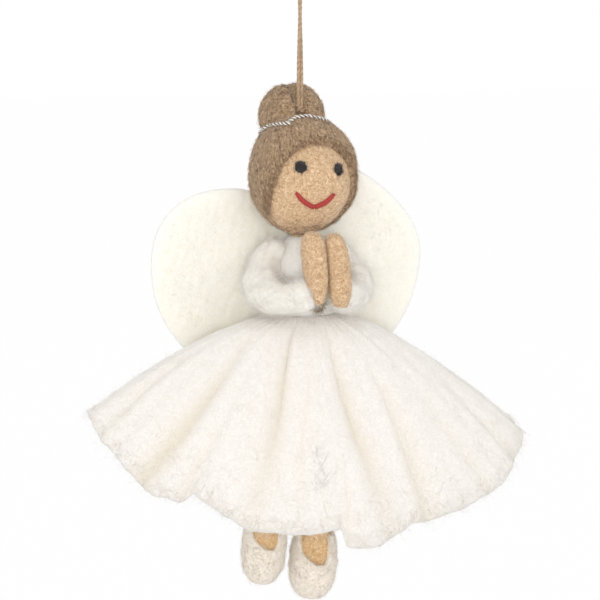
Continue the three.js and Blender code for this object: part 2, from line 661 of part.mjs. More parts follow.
// Half a heart in the wing's own plane, from the dip between the lobes round to the tip
function wingOutline() {
  const inner = threadRadius + GAP;
  const outline = new THREE.Shape();
  const place = ([out, up]) => [out * WING_SPAN, up * (up > 0 ? WING_LOBE_HEIGHT : WING_TIP_DROP)];
  const [rise, fall, taper] = WING_CURVES.map((curve) => curve.flatMap(place));
  outline.moveTo(inner, WING_DIP);
  outline.bezierCurveTo(...rise);
  outline.bezierCurveTo(...fall);
  outline.bezierCurveTo(...taper, inner, -WING_TIP_DROP);
  return outline;
}

function addWings(body, rings) {
  const wings = new THREE.Group();
  wings.position.set(0, chestOuter + RUNNING_GAP, -WING_SEAM_DROP);
  wings.rotation.x = wingLean(rings, wings.position);
  wings.updateMatrix();
  body.add(wings);
  const settings = {
    depth: WING_THICKNESS - 2 * WING_EDGE_ROUND,
    bevelThickness: WING_EDGE_ROUND,
    bevelSize: WING_EDGE_ROUND,
    bevelOffset: -WING_EDGE_ROUND,
    bevelSegments: 1,
    curveSegments: PROFILE_STEPS,
  };
  const hairCentre = headAboveBody.clone().applyMatrix4(wings.matrix.clone().invert());
  const hairRoom = ballRoom(hairRadius + WING_HAIR_CLEARANCE, hairCentre, 2 * ROUND_STEPS);
  for (const [name, side] of [['left_wing', 1], ['right_wing', -1]]) {
    const half = new THREE.ExtrudeGeometry(wingOutline(), settings).rotateX(Math.PI / 2);
    half.translate(0, WING_THICKNESS - WING_EDGE_ROUND, 0).scale(side, 1, 1);
    piece(wings, name, cut(solid(half), hairRoom), wingFelt);
  }
  const seamTop = point(0, WING_THICKNESS / 2, WING_SEAM_TOP);
  const seamFoot = point(0, WING_THICKNESS / 2, WING_SEAM_TOP - WING_SEAM_LENGTH);
  piece(wings, 'wing_thread', solid(rod(seamFoot, seamTop, threadRadius)), whiteThread);
  return wings;
}

// Foot with its toes pointing down, as a turned egg under the ankle
function foot(legLength, grow) {
  const [toe, ...sides] = FOOT_PROFILE;
  const profile = smooth([
    [toe[0], -toe[1] * FOOT_LENGTH - grow],
    ...sides.map(([out, down]) => [out * FOOT_RADIUS + grow, -down * (FOOT_LENGTH + grow / 2)]),
    [ANKLE_RADIUS + grow, 0],
  ], PROFILE_STEPS);
  return turned([...profile, [0, 0]], LIMB_STEPS).translate(0, 0, -legLength);
}

// Room for the instep: a rounded notch in the front of the slipper, open at its rim
function slipperMouth(legLength) {
  const outline = new THREE.Shape();
  outline.absarc(0, 0, SLIPPER_MOUTH_HALF_WIDTH, Math.PI, 2 * Math.PI);
  outline.lineTo(SLIPPER_MOUTH_HALF_WIDTH, FOOT_LENGTH);
  outline.lineTo(-SLIPPER_MOUTH_HALF_WIDTH, FOOT_LENGTH);
  const settings = { depth: FOOT_LENGTH, bevelEnabled: false, curveSegments: CURVE_STEPS };
  const notch = new THREE.ExtrudeGeometry(outline, settings).rotateX(Math.PI / 2);
  const low = -legLength - SLIPPER_RIM_DROP - SLIPPER_MOUTH_DEPTH + SLIPPER_MOUTH_HALF_WIDTH;
  return notch.translate(0, 0, low);
}

function slipperRim(legLength) {
  const wide = 4 * FOOT_RADIUS;
  return new THREE.BoxGeometry(wide, wide, wide).translate(0, 0, -legLength - SLIPPER_RIM_DROP + wide / 2);
}

function addLeg(body, name, side, length, sideLean) {
  const leg = new THREE.Group();
  leg.position.copy(hipPlace(side));
  leg.rotation.set(radians(LEG_LEAN_BACK), radians(sideLean), 0);
  leg.updateMatrix();
  body.add(leg);
  const ankle = point(0, 0, -length);
  const shank = limb(MIDDLE, ankle, [HIP_RADIUS, THIGH_RADIUS, ANKLE_RADIUS, ANKLE_RADIUS]);
  const threadRoom = hipThread(GAP).applyMatrix4(leg.matrix.clone().invert());
  piece(leg, `${name}_leg`, cut(join(shank, foot(length, 0)), threadRoom), skinFelt);
  const sole = solid(foot(length, GAP + SLIPPER_THICKNESS));
  const slipper = cut(sole, foot(length, GAP), slipperMouth(length), slipperRim(length));
  piece(leg, `${name}_slipper`, slipper, slipperFelt);
}

function makeAngel() {
  const angel = new THREE.Group();
  hangTwine(angel);
  addHead(angel);
  const body = new THREE.Group();
  body.position.copy(bodyPlace);
  angel.add(body);
  addTorso(body);
  addArm(body, 'left', 1);
  addArm(body, 'right', -1);
  const rings = skirtRings();
  addSkirt(body, rings);
  const wings = addWings(body, rings);
  addLeg(body, 'left', 1, LEFT_LEG_LENGTH, LEFT_LEG_LEAN);
  addLeg(body, 'right', -1, RIGHT_LEG_LENGTH, RIGHT_LEG_LEAN);
  angel.updateMatrixWorld(true);
  const wingRoot = (side) => point(side * (threadRadius + GAP), WING_THICKNESS, 0);
  angel.userData = {
    swing: eyeKnot,
    spin: anchorKnot,
    neckTurn: bodyPlace,
    leftShoulder: shoulderPlace(1).applyMatrix4(body.matrixWorld),
    rightShoulder: shoulderPlace(-1).applyMatrix4(body.matrixWorld),
    leftWing: wingRoot(1).applyMatrix4(wings.matrixWorld),
    rightWing: wingRoot(-1).applyMatrix4(wings.matrixWorld),
    wingAxis: UP.clone().transformDirection(wings.matrixWorld),
    leftHip: hipPlace(1).applyMatrix4(body.matrixWorld),
    rightHip: hipPlace(-1).applyMatrix4(body.matrixWorld),
  };
  return angel;
}

export default makeAngel();
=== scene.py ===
import math

import bpy
import numpy as np
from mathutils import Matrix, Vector


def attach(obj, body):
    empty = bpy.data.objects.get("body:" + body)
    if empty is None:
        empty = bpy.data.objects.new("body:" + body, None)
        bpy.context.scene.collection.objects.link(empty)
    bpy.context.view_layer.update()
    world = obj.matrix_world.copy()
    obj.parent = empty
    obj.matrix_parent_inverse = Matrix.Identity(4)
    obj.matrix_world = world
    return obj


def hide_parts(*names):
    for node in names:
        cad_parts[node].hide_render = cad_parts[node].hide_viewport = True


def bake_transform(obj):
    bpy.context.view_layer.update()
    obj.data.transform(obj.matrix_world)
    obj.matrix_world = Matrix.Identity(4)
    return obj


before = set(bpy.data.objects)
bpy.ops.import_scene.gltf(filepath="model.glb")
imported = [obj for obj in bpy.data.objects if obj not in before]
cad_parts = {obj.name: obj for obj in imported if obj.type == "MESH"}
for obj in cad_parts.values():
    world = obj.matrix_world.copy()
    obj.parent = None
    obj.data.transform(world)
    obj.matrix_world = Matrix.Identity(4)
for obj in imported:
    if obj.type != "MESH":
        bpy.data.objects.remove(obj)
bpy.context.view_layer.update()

# Studio: a white room with broad soft lamps and a pale floor below the toes, which takes a faint shadow.
# The camera stands to the figure's right and a little above it, far off, as a product camera does.
# Lengths are in millimetres up to the meshes, which are in metres.
MM = 0.001
VIEW_TURN = math.radians(-19)
VIEW_DROP = math.radians(6)
VIEW_DISTANCE = 1200
VIEW_WIDTH = 198
VIEW_MIDDLE = Vector((0, 0, -114.5))
SENSOR_WIDTH = 36
FLOOR_LEVEL = -250
FLOOR_REACH = 4000
ROOM_LIGHT = 0.74
FLOOR_GLOW = 0.98


class Shade:
    """A socket of a node tree. Sums and products of it add Math nodes, and node() adds any other node."""

    def __init__(self, tree, socket=None):
        self.tree = tree
        self.socket = socket

    def node(self, kind, settings, sockets, output=0):
        """Adds a node of a kind: its settings first, then a value or a link for each named socket."""
        made = self.tree.nodes.new(kind)
        for name, value in settings.items():
            setattr(made, name, value)
        for name, value in sockets.items():
            if isinstance(value, Shade):
                self.tree.links.new(value.socket, made.inputs[name])
            else:
                made.inputs[name].default_value = value
        return Shade(self.tree, made.outputs[output] if made.outputs else None)

    def math(self, operation, *terms):
        """Adds a Math node that works on links and numbers."""
        return self.node("ShaderNodeMath", {"operation": operation}, dict(enumerate(terms)))

    def noise(self, place, scale, detail):
        """Cloudy noise at a place, mostly near 0.5."""
        return self.node("ShaderNodeTexNoise", {}, {"Vector": place, "Scale": scale, "Detail": detail})

    def attribute(self, name):
        """The vector that a mesh keeps under a name for each of its points."""
        return self.node("ShaderNodeAttribute", {"attribute_name": name}, {}, "Vector")

    def part(self, index):
        """One of the three numbers of a vector."""
        return self.node("ShaderNodeSeparateXYZ", {}, {"Vector": self}, index)

    def __add__(self, other):
        return self.math("ADD", self, other)

    def __mul__(self, other):
        return self.math("MULTIPLY", self, other)

    __radd__ = __add__
    __rmul__ = __mul__

    def between(self, low, high):
        """0 below low, 1 above high, with a smooth rise between."""
        settings = {"interpolation_type": "SMOOTHSTEP"}
        return self.node("ShaderNodeMapRange", settings, {"Value": self, "From Min": low, "From Max": high})


def dye(red, green, blue):
    """Linear colour of three 8-bit screen values."""
    share = np.array([red, green, blue]) / 255
    linear = np.where(share <= 0.04045, share / 12.92, ((share + 0.055) / 1.055) ** 2.4)
    return (*linear.tolist(), 1.0)


def show(thing):
    """Puts a new object into the scene."""
    bpy.context.scene.collection.objects.link(thing)
    return thing


def add_camera():
    """A long lens at the viewing distance, turned about Z and tipped down, aimed at the middle."""
    camera = show(bpy.data.objects.new("camera", bpy.data.cameras.new("camera")))
    camera.data.sensor_width = SENSOR_WIDTH
    camera.data.lens = SENSOR_WIDTH * VIEW_DISTANCE / VIEW_WIDTH
    level = math.cos(VIEW_DROP)
    forward = Vector((-math.sin(VIEW_TURN) * level, math.cos(VIEW_TURN) * level, -math.sin(VIEW_DROP)))
    camera.location = (VIEW_MIDDLE - forward * VIEW_DISTANCE) * MM
    camera.rotation_euler = (math.pi / 2 - VIEW_DROP, 0, VIEW_TURN)
    bpy.context.scene.camera = camera


def add_lamp(name, place, size, watts):
    """A square area lamp aimed at the middle of the figure."""
    lamp = show(bpy.data.objects.new(name, bpy.data.lights.new(name, "AREA")))
    lamp.data.size = size * MM
    lamp.data.energy = watts
    lamp.location = Vector(place) * MM
    lamp.rotation_euler = (VIEW_MIDDLE - Vector(place)).to_track_quat("-Z", "Y").to_euler()


def light_room():
    """White where the camera or a mirror looks at it, and an even soft light for all else."""
    world = bpy.data.worlds.new("room")
    bpy.context.scene.world = world
    world.use_nodes = True
    start = Shade(world.node_tree)
    seen = [start.node("ShaderNodeLightPath", {}, {}, kind)
            for kind in ("Is Camera Ray", "Is Glossy Ray", "Is Transmission Ray")]
    white = start.math("MAXIMUM", seen[0], start.math("MAXIMUM", seen[1], seen[2]))
    strength = white * (1 - ROOM_LIGHT) + ROOM_LIGHT
    world.node_tree.links.new(strength.socket, world.node_tree.nodes["Background"].inputs["Strength"])
    world.node_tree.nodes["Background"].inputs["Color"].default_value = (1, 1, 1, 1)


def add_floor():
    """A flat white sheet that glows for the camera and is matt for the light that falls on it."""
    mesh = bpy.data.meshes.new("floor")
    corners = np.array([[-1, -1, 0], [1, -1, 0], [1, 1, 0], [-1, 1, 0]]) * FLOOR_REACH
    corners[:, 2] = FLOOR_LEVEL
    mesh.from_pydata((corners * MM).tolist(), [], [[0, 1, 2, 3]])
    floor = show(bpy.data.objects.new("floor", mesh))
    material = bpy.data.materials.new("floor_white")
    material.use_nodes = True
    tree = material.node_tree
    start = Shade(tree)
    matt = start.node("ShaderNodeBsdfDiffuse", {}, {"Color": (0.9, 0.9, 0.9, 1)})
    glow = start.node("ShaderNodeEmission", {}, {"Color": (1, 1, 1, 1), "Strength": 1})
    seen = start.node("ShaderNodeLightPath", {}, {}, "Is Camera Ray")
    both = start.node("ShaderNodeMixShader", {}, {0: seen * FLOOR_GLOW, 1: matt, 2: glow})
    tree.links.new(both.socket, tree.nodes["Material Output"].inputs["Surface"])
    mesh.materials.append(material)


bpy.context.scene.view_settings.view_transform = "Standard"
add_camera()
light_room()
add_lamp("key_lamp", (-800, -850, 300), 1000, 1.6)
add_lamp("front_lamp", (-480, -1400, -40), 400, 6.2)
add_lamp("fill_lamp", (900, -700, 0), 1200, 2.2)
add_lamp("back_lamp", (200, 900, 500), 800, 0.8)
add_floor()

# Twine: a length of two-ply jute, doubled. A knot closes its eye, and the two strands run side by side
# down to a knot at the hair band, from which the whole figure hangs.
TWINE_DIAMETER = 1.15
TWINE_LAY = 3.6
STRANDS_PRESSED = 0.76
EYE_KNOT = np.array([0, 0, -11.5])
EYE_KNOT_RADIUS = 1.15
EYE_KNOT_TWINE = 1.1
ANCHOR_KNOT = np.array([0, 0, -51.2])
ANCHOR_KNOT_RADIUS = 1.2
ANCHOR_KNOT_TWINE = 1.0
KNOT_LAY = 3
X_AXIS = np.array([1.0, 0, 0])
Z_AXIS = np.array([0, 0, 1.0])
EYE_ROUTE = [
    [0, -0.72, -10.6], [0, -0.8, -9.6], [0, -2.6, -7.5], [0, -3.4, -4.5], [0, -2.6, -1.4], [0, 0, 0.575],
    [0, 2.6, -1.4], [0, 3.4, -4.5], [0, 2.6, -7.5], [0, 0.8, -9.6], [0, 0.72, -10.6],
]
STRAND_ROUTE = [
    [0.72, 0, -50.6], [0.71, 0.1, -40], [0.56, 0.46, -30], [0.2, 0.71, -20], [0, 0.72, -12.4],
]


def unit(vectors):
    """Vectors of length 1 in the same directions."""
    return vectors / np.linalg.norm(vectors, axis=-1, keepdims=True)


def full_turn(count):
    """Even angles round a full turn, from 0."""
    return np.linspace(0, 2 * np.pi, count, endpoint=False)


def way_along(path):
    """Way along a path to each of its points."""
    return np.concatenate([[0], np.cumsum(np.linalg.norm(np.diff(path, axis=0), axis=1))])


def smooth_path(stations, count):
    """Even points on a cubic curve through the stations, whose slope at each comes from its neighbours."""
    stations = np.asarray(stations, float)
    chord = way_along(stations)
    slope = np.gradient(stations, chord, axis=0)
    fine = np.linspace(0, chord[-1], 40 * len(stations))
    cell = np.clip(np.searchsorted(chord, fine, side="right") - 1, 0, len(chord) - 2)
    span = (chord[cell + 1] - chord[cell])[:, None]
    t = (fine - chord[cell])[:, None] / span
    curve = ((2 * t**3 - 3 * t**2 + 1) * stations[cell] + (t**3 - 2 * t**2 + t) * span * slope[cell]
             + (3 * t**2 - 2 * t**3) * stations[cell + 1] + (t**3 - t**2) * span * slope[cell + 1])
    way = way_along(curve)
    even = np.linspace(0, way[-1], count)
    return np.stack([np.interp(even, way, curve[:, axis]) for axis in range(curve.shape[1])], axis=1)


def tube(path, reference, radius, sides=14):
    """Rings about a path: radius (rows, sides) turned from the side of the path nearest the reference."""
    tangent = unit(np.gradient(path, axis=0))
    reference = np.broadcast_to(reference, path.shape)
    side = unit(reference - (reference * tangent).sum(axis=1, keepdims=True) * tangent)
    other = np.cross(tangent, side)
    angle = full_turn(sides)[None, :, None]
    ring = np.cos(angle) * side[:, None] + np.sin(angle) * other[:, None]
    return path[:, None] + np.broadcast_to(radius, (len(path), sides))[..., None] * ring


def ply_radius(path, diameter, lay, sides=14, lobe=0.13):
    """Radius of a two-ply cord: two round lobes that turn once in each lay, with a groove between."""
    turn = full_turn(sides)[None] - 2 * np.pi * way_along(path)[:, None] / lay
    return diameter * (0.53 - lobe + lobe * np.abs(np.cos(turn))), turn


def skin(name, grid, finish, **maps):
    """Closed mesh of a grid of points: its columns join round, and its first and last rows close in fans.
    maps gives a vector for each point of the grid, kept as an attribute of that name."""
    rows, columns = grid.shape[:2]

    def with_middles(values):
        return np.concatenate([values.reshape(-1, 3), values[[0, -1]].mean(axis=1)])

    points = with_middles(grid) * MM
    row, column = np.indices((rows - 1, columns)).reshape(2, -1)
    after = (column + 1) % columns
    quads = np.stack([row * columns + column, row * columns + after,
                      (row + 1) * columns + after, (row + 1) * columns + column], axis=1)
    around = np.arange(columns)
    onward = (around + 1) % columns
    first = np.stack([np.full(columns, rows * columns), onward, around], axis=1)
    foot = (rows - 1) * columns
    last = np.stack([np.full(columns, rows * columns + 1), foot + around, foot + onward], axis=1)
    triangles = np.concatenate([quads[:, :3], quads[:, [0, 2, 3]], first, last])
    a, b, c = (points[triangles[:, corner]] for corner in range(3))
    step = 1 if (a * np.cross(b, c)).sum() > 0 else -1
    faces = quads[:, ::step].tolist() + first[:, ::step].tolist() + last[:, ::step].tolist()
    mesh = bpy.data.meshes.new(name)
    mesh.from_pydata(points.tolist(), [], faces)
    for label, values in maps.items():
        attribute = mesh.attributes.new(label, "FLOAT_VECTOR", "POINT")
        attribute.data.foreach_set("vector", with_middles(values).astype(np.float32).ravel())
    mesh.shade_smooth()
    mesh.materials.append(finish)
    return show(bpy.data.objects.new(name, mesh))


def fibres(name, roots, along, out, length, radius, finish, random, curl=0.3, rise=0.3, steps=4):
    """Loose fibres: each runs its length along a direction, curls aside with the square of the way and
    rises on most of half a sine wave. It is a three-sided tube that narrows to a point."""
    count = len(roots)
    share = np.linspace(0, 1, steps + 1)[None, :, None]
    side = np.cross(out, along)
    bend = (random.normal(0, curl, count) * length)[:, None, None]
    height = np.abs(random.normal(0, rise, count))[:, None, None]
    middle = (roots[:, None] + length[:, None, None] * share * along[:, None]
              + bend * share**2 * side[:, None] + height * np.sin(0.8 * np.pi * share) * out[:, None])
    angle = np.array([0, 2, 4])[:, None] * np.pi / 3
    ring = np.cos(angle) * out[:, None] + np.sin(angle) * side[:, None]
    thick = (radius * np.sqrt(1 - share[:, :-1]))[..., None]
    rings = middle[:, :-1, None] + thick * ring[:, None]
    points = np.concatenate([rings.reshape(count, -1, 3), middle[:, -1:]], axis=1)
    low, near = np.indices((steps - 1, 3)).reshape(2, -1)
    far = (near + 1) % 3
    walls = np.concatenate([np.stack([3 * low + near, 3 * low + far, 3 * low + 3 + far], axis=1),
                            np.stack([3 * low + near, 3 * low + 3 + far, 3 * low + 3 + near], axis=1)])
    end = 3 * (steps - 1)
    tip = np.stack([end + np.arange(3), end + (np.arange(3) + 1) % 3, np.full(3, 3 * steps)], axis=1)
    one = np.concatenate([walls, tip, [[0, 2, 1]]])
    if np.median((np.cross(out, side) * along).sum(axis=1)) < 0:
        one = one[:, ::-1]
    faces = (one[None] + (3 * steps + 1) * np.arange(count)[:, None, None]).reshape(-1, 3)
    mesh = bpy.data.meshes.new(name)
    mesh.from_pydata((points.reshape(-1, 3) * MM).tolist(), [], faces.tolist())
    mesh.shade_smooth()
    mesh.materials.append(finish)
    return show(bpy.data.objects.new(name, mesh))


def places_on(grid, count, random, outward=None):
    """Random places on a grid, as many to each unit of its area, with its rows' direction and its normal,
    which points away from the middles of the rows unless outward gives its sign."""
    closed = np.concatenate([grid, grid[:, :1]], axis=1)
    down = closed[1:, :-1] - closed[:-1, :-1]
    across = closed[:-1, 1:] - closed[:-1, :-1]
    normal = np.cross(across, down)
    sign = outward or np.sign((normal * (grid[:-1] - grid[:-1].mean(axis=1, keepdims=True))).sum())
    area = np.linalg.norm(normal, axis=2)
    chosen = random.choice(area.size, count, p=(area / area.sum()).ravel())
    i, j = np.unravel_index(chosen, area.shape)
    u, v = random.random((2, count, 1))
    root = closed[i, j] + u * down[i, j] + v * across[i, j]
    return root, unit(down[i, j] + 1e-9), unit(sign * normal[i, j] + 1e-12)


def new_finish(name, constants):
    """A new material with one shader, whose sockets that are the same all over are set here."""
    material = bpy.data.materials.new(name)
    material.use_nodes = True
    shader = material.node_tree.nodes["Principled BSDF"]
    for socket, value in constants.items():
        shader.inputs[socket].default_value = value
    return material, Shade(material.node_tree), shader


def feed(shader, socket, value):
    """Links a value to a socket of the shader."""
    value.tree.links.new(value.socket, shader.inputs[socket])


def tint(start, share, low, high):
    """Colour from low to high by a share; each is a colour or a link."""
    return start.node("ShaderNodeMix", {"data_type": "RGBA"}, {0: share, 6: low, 7: high}, 2)


def relief(shader, height, depth, strength):
    """Bumps the surface by a height, of which 1 stands for the depth in millimetres."""
    sockets = {"Height": height, "Distance": depth * MM, "Strength": strength}
    feed(shader, "Normal", height.node("ShaderNodeBump", {}, sockets))


def jute_finish(name, deep, pale):
    """Bast fibre: fine streaks along the ply, with painted shade in the groove between the two plies."""
    material, start, shader = new_finish(name, {"Roughness": 0.85, "Sheen Weight": 0.15})
    lay = start.attribute("lay")
    streak = start.noise(lay, 2.2, 4)
    lobe = lay.part(2)
    # The lobe's share is painted shade: darker where the plies dip into the groove.
    share = streak.between(0.35, 0.7) * 0.75 + 0.25 * lobe.between(0.05, 0.6)
    feed(shader, "Base Color", tint(start, share, deep, pale))
    relief(shader, streak, 0.25, 0.5)
    return material


def twine_piece(name, path, reference, diameter, lay, finish, sides=14, lobe=0.13):
    """Two-ply cord on a path. Its lay attribute winds with the plies: a circle round the cord that drifts
    slowly with the way along it, and the height of the lobe in the third place."""
    radius, turn = ply_radius(path, diameter, lay, sides, lobe)
    way = np.broadcast_to(way_along(path)[:, None], turn.shape)
    lay_map = np.stack([2 * np.cos(turn) + 0.15 * way, 2 * np.sin(turn), np.abs(np.cos(turn))], axis=2)
    return skin(name, tube(path, reference, radius, sides), finish, lay=lay_map)


def knot_path(middle, radius, count=96):
    """An overhand knot: the closed trefoil curve, which winds twice round while it goes three times up."""
    t = np.linspace(0, 2 * np.pi, count)
    wide = (2 + np.cos(3 * t)) / 3
    curve = np.stack([wide * np.cos(2 * t), wide * np.sin(2 * t), 0.75 * np.sin(3 * t)], axis=1)
    return middle + radius * curve


jute = jute_finish("jute_twine", dye(124, 94, 66), dye(214, 186, 152))
eye_path = smooth_path(EYE_ROUTE, 110)
twine_eye = twine_piece("twine_eye_loop", eye_path, X_AXIS, TWINE_DIAMETER, TWINE_LAY, jute)
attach(twine_eye, "eye")
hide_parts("twine_eye")
eye_knot_path = knot_path(EYE_KNOT, EYE_KNOT_RADIUS)
eye_knot_out = unit(eye_knot_path - EYE_KNOT + 1e-6)
eye_knot = twine_piece("eye_knot_wrap", eye_knot_path, eye_knot_out, EYE_KNOT_TWINE, KNOT_LAY, jute)
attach(eye_knot, "knot")
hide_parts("eye_knot")
anchor_path = knot_path(ANCHOR_KNOT, ANCHOR_KNOT_RADIUS)
anchor_out = unit(anchor_path - ANCHOR_KNOT + 1e-6)
anchor_knot = twine_piece("anchor_knot_wrap", anchor_path, anchor_out, ANCHOR_KNOT_TWINE, KNOT_LAY, jute)
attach(anchor_knot, "head")
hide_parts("anchor_knot")
left_path = smooth_path(STRAND_ROUTE, 150) * [STRANDS_PRESSED, STRANDS_PRESSED, 1]
right_path = left_path * [-1, -1, 1]
left_strand = twine_piece("left_strand", left_path, X_AXIS, TWINE_DIAMETER, TWINE_LAY, jute)
right_strand = twine_piece("right_strand", right_path, X_AXIS, TWINE_DIAMETER, TWINE_LAY, jute)
for strand, path, node in ((left_strand, left_path, "twine_strand_left"),
                           (right_strand, right_path, "twine_strand_right")):
    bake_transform(strand)
    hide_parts(node)

# Head: a ball of skin-coloured wool, felted firm with a barbed needle, which leaves short fibres lying
# every way. The same wool makes the neck, the hands and the legs.
HEAD = np.array([0, -2.956, -74.32])
HEAD_RADIUS = 16
JAW_WAY = np.array([-0.3, -0.35, -0.887])
JAW_FULL = 2.4
JAW_SHARPNESS = 1.6
SKIN_PALE = dye(239, 211, 174)
SKIN_DEEP = dye(186, 148, 108)


def waves(points, size, seed, count=7):
    """Soft unevenness from -1 to 1: the mean of sine waves of one length in random directions."""
    random = np.random.default_rng(seed)
    direction = unit(random.normal(size=(count, 3)))
    phase = random.uniform(0, 2 * np.pi, count)
    stretch = random.uniform(0.7, 1.4, count)
    return np.sin(points @ (direction * stretch[:, None]).T * 2 * np.pi / size + phase).mean(axis=-1) * 1.8


def crossing_fibres(start):
    """Three crossing sets of short fibres, drawn out along the axes and bent a little by a slow drift, and
    a cloudy mottle."""
    place = start.node("ShaderNodeTexCoord", {}, {}, "Object")
    drift = start.node("ShaderNodeTexNoise", {}, {"Vector": place, "Scale": 300, "Detail": 2}, 1)
    bent = start.node("ShaderNodeVectorMath", {"operation": "MULTIPLY_ADD"},
                      {0: drift, 1: (0.004, 0.004, 0.004), 2: place})
    lines = []
    for stretch in ((1, 0.25, 0.3), (0.3, 1, 0.25), (0.25, 0.3, 1)):
        drawn = start.node("ShaderNodeVectorMath", {"operation": "MULTIPLY"}, {0: bent, 1: stretch})
        lines.append(start.noise(drawn, 3600, 1))
    crossing = start.math("MAXIMUM", lines[0], start.math("MAXIMUM", lines[1], lines[2]))
    mottle = start.noise(bent, 700, 3)
    return crossing, mottle, bent


def felt_finish(name, deep, pale, depth=0.4, fleck=None, fleck_share=0.64, crease=None, loose=0.0):
    """Needled wool: crossing fibres over a cloudy mottle. Flecks of a second colour are single coarse
    fibres; the crease colour is painted shade where the attribute of that name says the felt is pressed in.
    The looser the wool, the more of the light goes in and comes out a few millimetres away."""
    material, start, shader = new_finish(name, {
        "Roughness": 0.95, "Sheen Weight": 0.2 + loose, "Sheen Roughness": 0.6, "Specular IOR Level": 0.15,
        "Subsurface Weight": loose, "Subsurface Radius": (1, 0.95, 0.88), "Subsurface Scale": 2.5 * MM,
    })
    crossing, mottle, bent = crossing_fibres(start)
    share = crossing.between(0.48, 0.72) * 0.75 + mottle.between(0.3, 0.7) * 0.25
    colour = tint(start, share, deep, pale)
    if fleck:
        coarse = start.noise(bent, 1500, 1)
        colour = tint(start, coarse.between(fleck_share, fleck_share + 0.1), colour, fleck)
    # Painted shade: the colour goes towards the crease colour by the first number of the attribute.
    if crease:
        colour = tint(start, start.attribute("crease").part(0), colour, crease)
    feed(shader, "Base Color", colour)
    relief(shader, crossing + mottle * 0.6, depth, 0.6)
    return material


def ball(middle, radius, rows=56, columns=96, uneven=0.18, size=7, seed=1):
    """A sphere by latitude and longitude, with its radius changed a little by soft waves."""
    up = np.linspace(0.5 * np.pi - 0.02, -0.5 * np.pi + 0.02, rows)[:, None]
    around = full_turn(columns)[None]
    way = np.stack([np.cos(up) * np.sin(around), -np.cos(up) * np.cos(around),
                    np.broadcast_to(np.sin(up), (rows, columns))], axis=2)
    return middle + way * (radius + uneven * waves(way * radius, size, seed))[..., None]


def fuzz(name, grid, count, length, radius, finish, seed, outward=None, rise=0.25, curl=0.3, comb=None,
         lean=0.0):
    """Fibres on a grid's surface. They lie every way, or within about comb radians of a lean from its
    rows' direction."""
    random = np.random.default_rng(seed)
    root, down, out = places_on(grid, count, random, outward)
    aside = np.cross(out, down)
    angle = random.uniform(-np.pi, np.pi, count) if comb is None else random.normal(lean, comb, count)
    along = np.cos(angle)[:, None] * down + np.sin(angle)[:, None] * aside
    lengths = length * random.uniform(0.5, 1.3, count)
    return fibres(name, root - 0.05 * out, along, out, lengths, radius, finish, random, curl, rise)


def belong(body, slot, *pieces):
    """Lets pieces move with a body; slot is not used."""
    for piece in pieces:
        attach(piece, body)


def with_jaw(points):
    """Points on the ball, drawn out towards the jaw: the nearer to it, the further."""
    near = np.clip((points - HEAD) @ JAW_WAY / HEAD_RADIUS, 0, 1) ** JAW_SHARPNESS
    return points + JAW_FULL * near[..., None] * JAW_WAY


skin_felt = felt_finish("skin_felt", SKIN_DEEP, SKIN_PALE, fleck=dye(184, 140, 100))
skin_fibre = felt_finish("skin_fibre", dye(236, 206, 166), dye(250, 228, 196))
skin_dark = felt_finish("skin_dark_fibre", dye(150, 104, 66), dye(186, 138, 94))
head_grid = with_jaw(ball(HEAD, HEAD_RADIUS))
head = skin("head_ball", head_grid, skin_felt)
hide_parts("head")
head_fuzz = fuzz("head_fuzz", head_grid, 2800, 2.0, 0.06, skin_fibre, seed=11, rise=0.1)
head_dark = fuzz("head_dark_fuzz", head_grid, 1000, 1.6, 0.055, skin_dark, seed=12, rise=0.1)
belong("head", "skin_felt", head, head_fuzz, head_dark)

# Hair cap: taupe wool combed back from the hairline and down over the head, drawn together under the band
# and needled to the ball along its edge. It stays open at the face, which tilts a little to one side.
BAND_HEIGHT = 18.4
BAND_RADIUS = 10.9
TOPKNOT_TILT = math.radians(30)
TOPKNOT_UP = np.array([0, math.sin(TOPKNOT_TILT), math.cos(TOPKNOT_TILT)])
TOPKNOT_FRONT = np.array([0, -math.cos(TOPKNOT_TILT), math.sin(TOPKNOT_TILT)])
HAIR_OUTLINE = [
    [10.4, 18.6], [13, 15.4], [16.5, 7.8], [17.7, 0], [16.83, -5.47], [12.5, -12.5], [5.5, -16.8],
    [0.4, -17.7],
]
HAIRLINE_TURN = [-180, -145, -111, -60, -44, -24, 0, 24, 44, 60, 111, 145, 180]
HAIRLINE_FALL = [136, 153, 148, 110, 90.8, 76.6, 71.4, 77.5, 92, 111.5, 144, 150, 136]
FACE_TURN = math.radians(2)
FACE_ROLL = math.radians(5)
HAIR_DEEP = dye(88, 62, 42)
HAIR_PALE = dye(224, 191, 153)
HAIRLINE_RAGGED = 1.1
HAIR_THINS_OVER = 9
HAIR_EDGE = 0.1
HAIR_SEAT = 0.2
LOCK_DEPTH = 0.11
HAIR_SIDE_SWELL = 1.5
SWELL_TURN, SWELL_TURN_HALF = 80, 50
SWELL_FALL, SWELL_FALL_HALF = 62, 24
CHIN_ROWS = slice(43, 53)


def around_topknot(angle, out, up):
    """Point at a distance out from the topknot's axis and a height up it. Angle 0 is the front, and a
    quarter turn is the figure's left."""
    aim = np.sin(angle)[..., None] * X_AXIS + np.cos(angle)[..., None] * TOPKNOT_FRONT
    return HEAD + out[..., None] * aim + up[..., None] * TOPKNOT_UP


def locks(angle, seed, strands=(19, 31, 47, 70, 103, 151)):
    """Grooves between combed locks: sine waves round the head, finer ones lower, each at a random place."""
    random = np.random.default_rng(seed)
    total = np.zeros_like(angle)
    for strand in strands:
        phase, shift = random.uniform(0, 6.28), random.normal(0, 0.6)
        total = total + np.sin(strand * angle + phase + shift) / strand**0.5
    return total


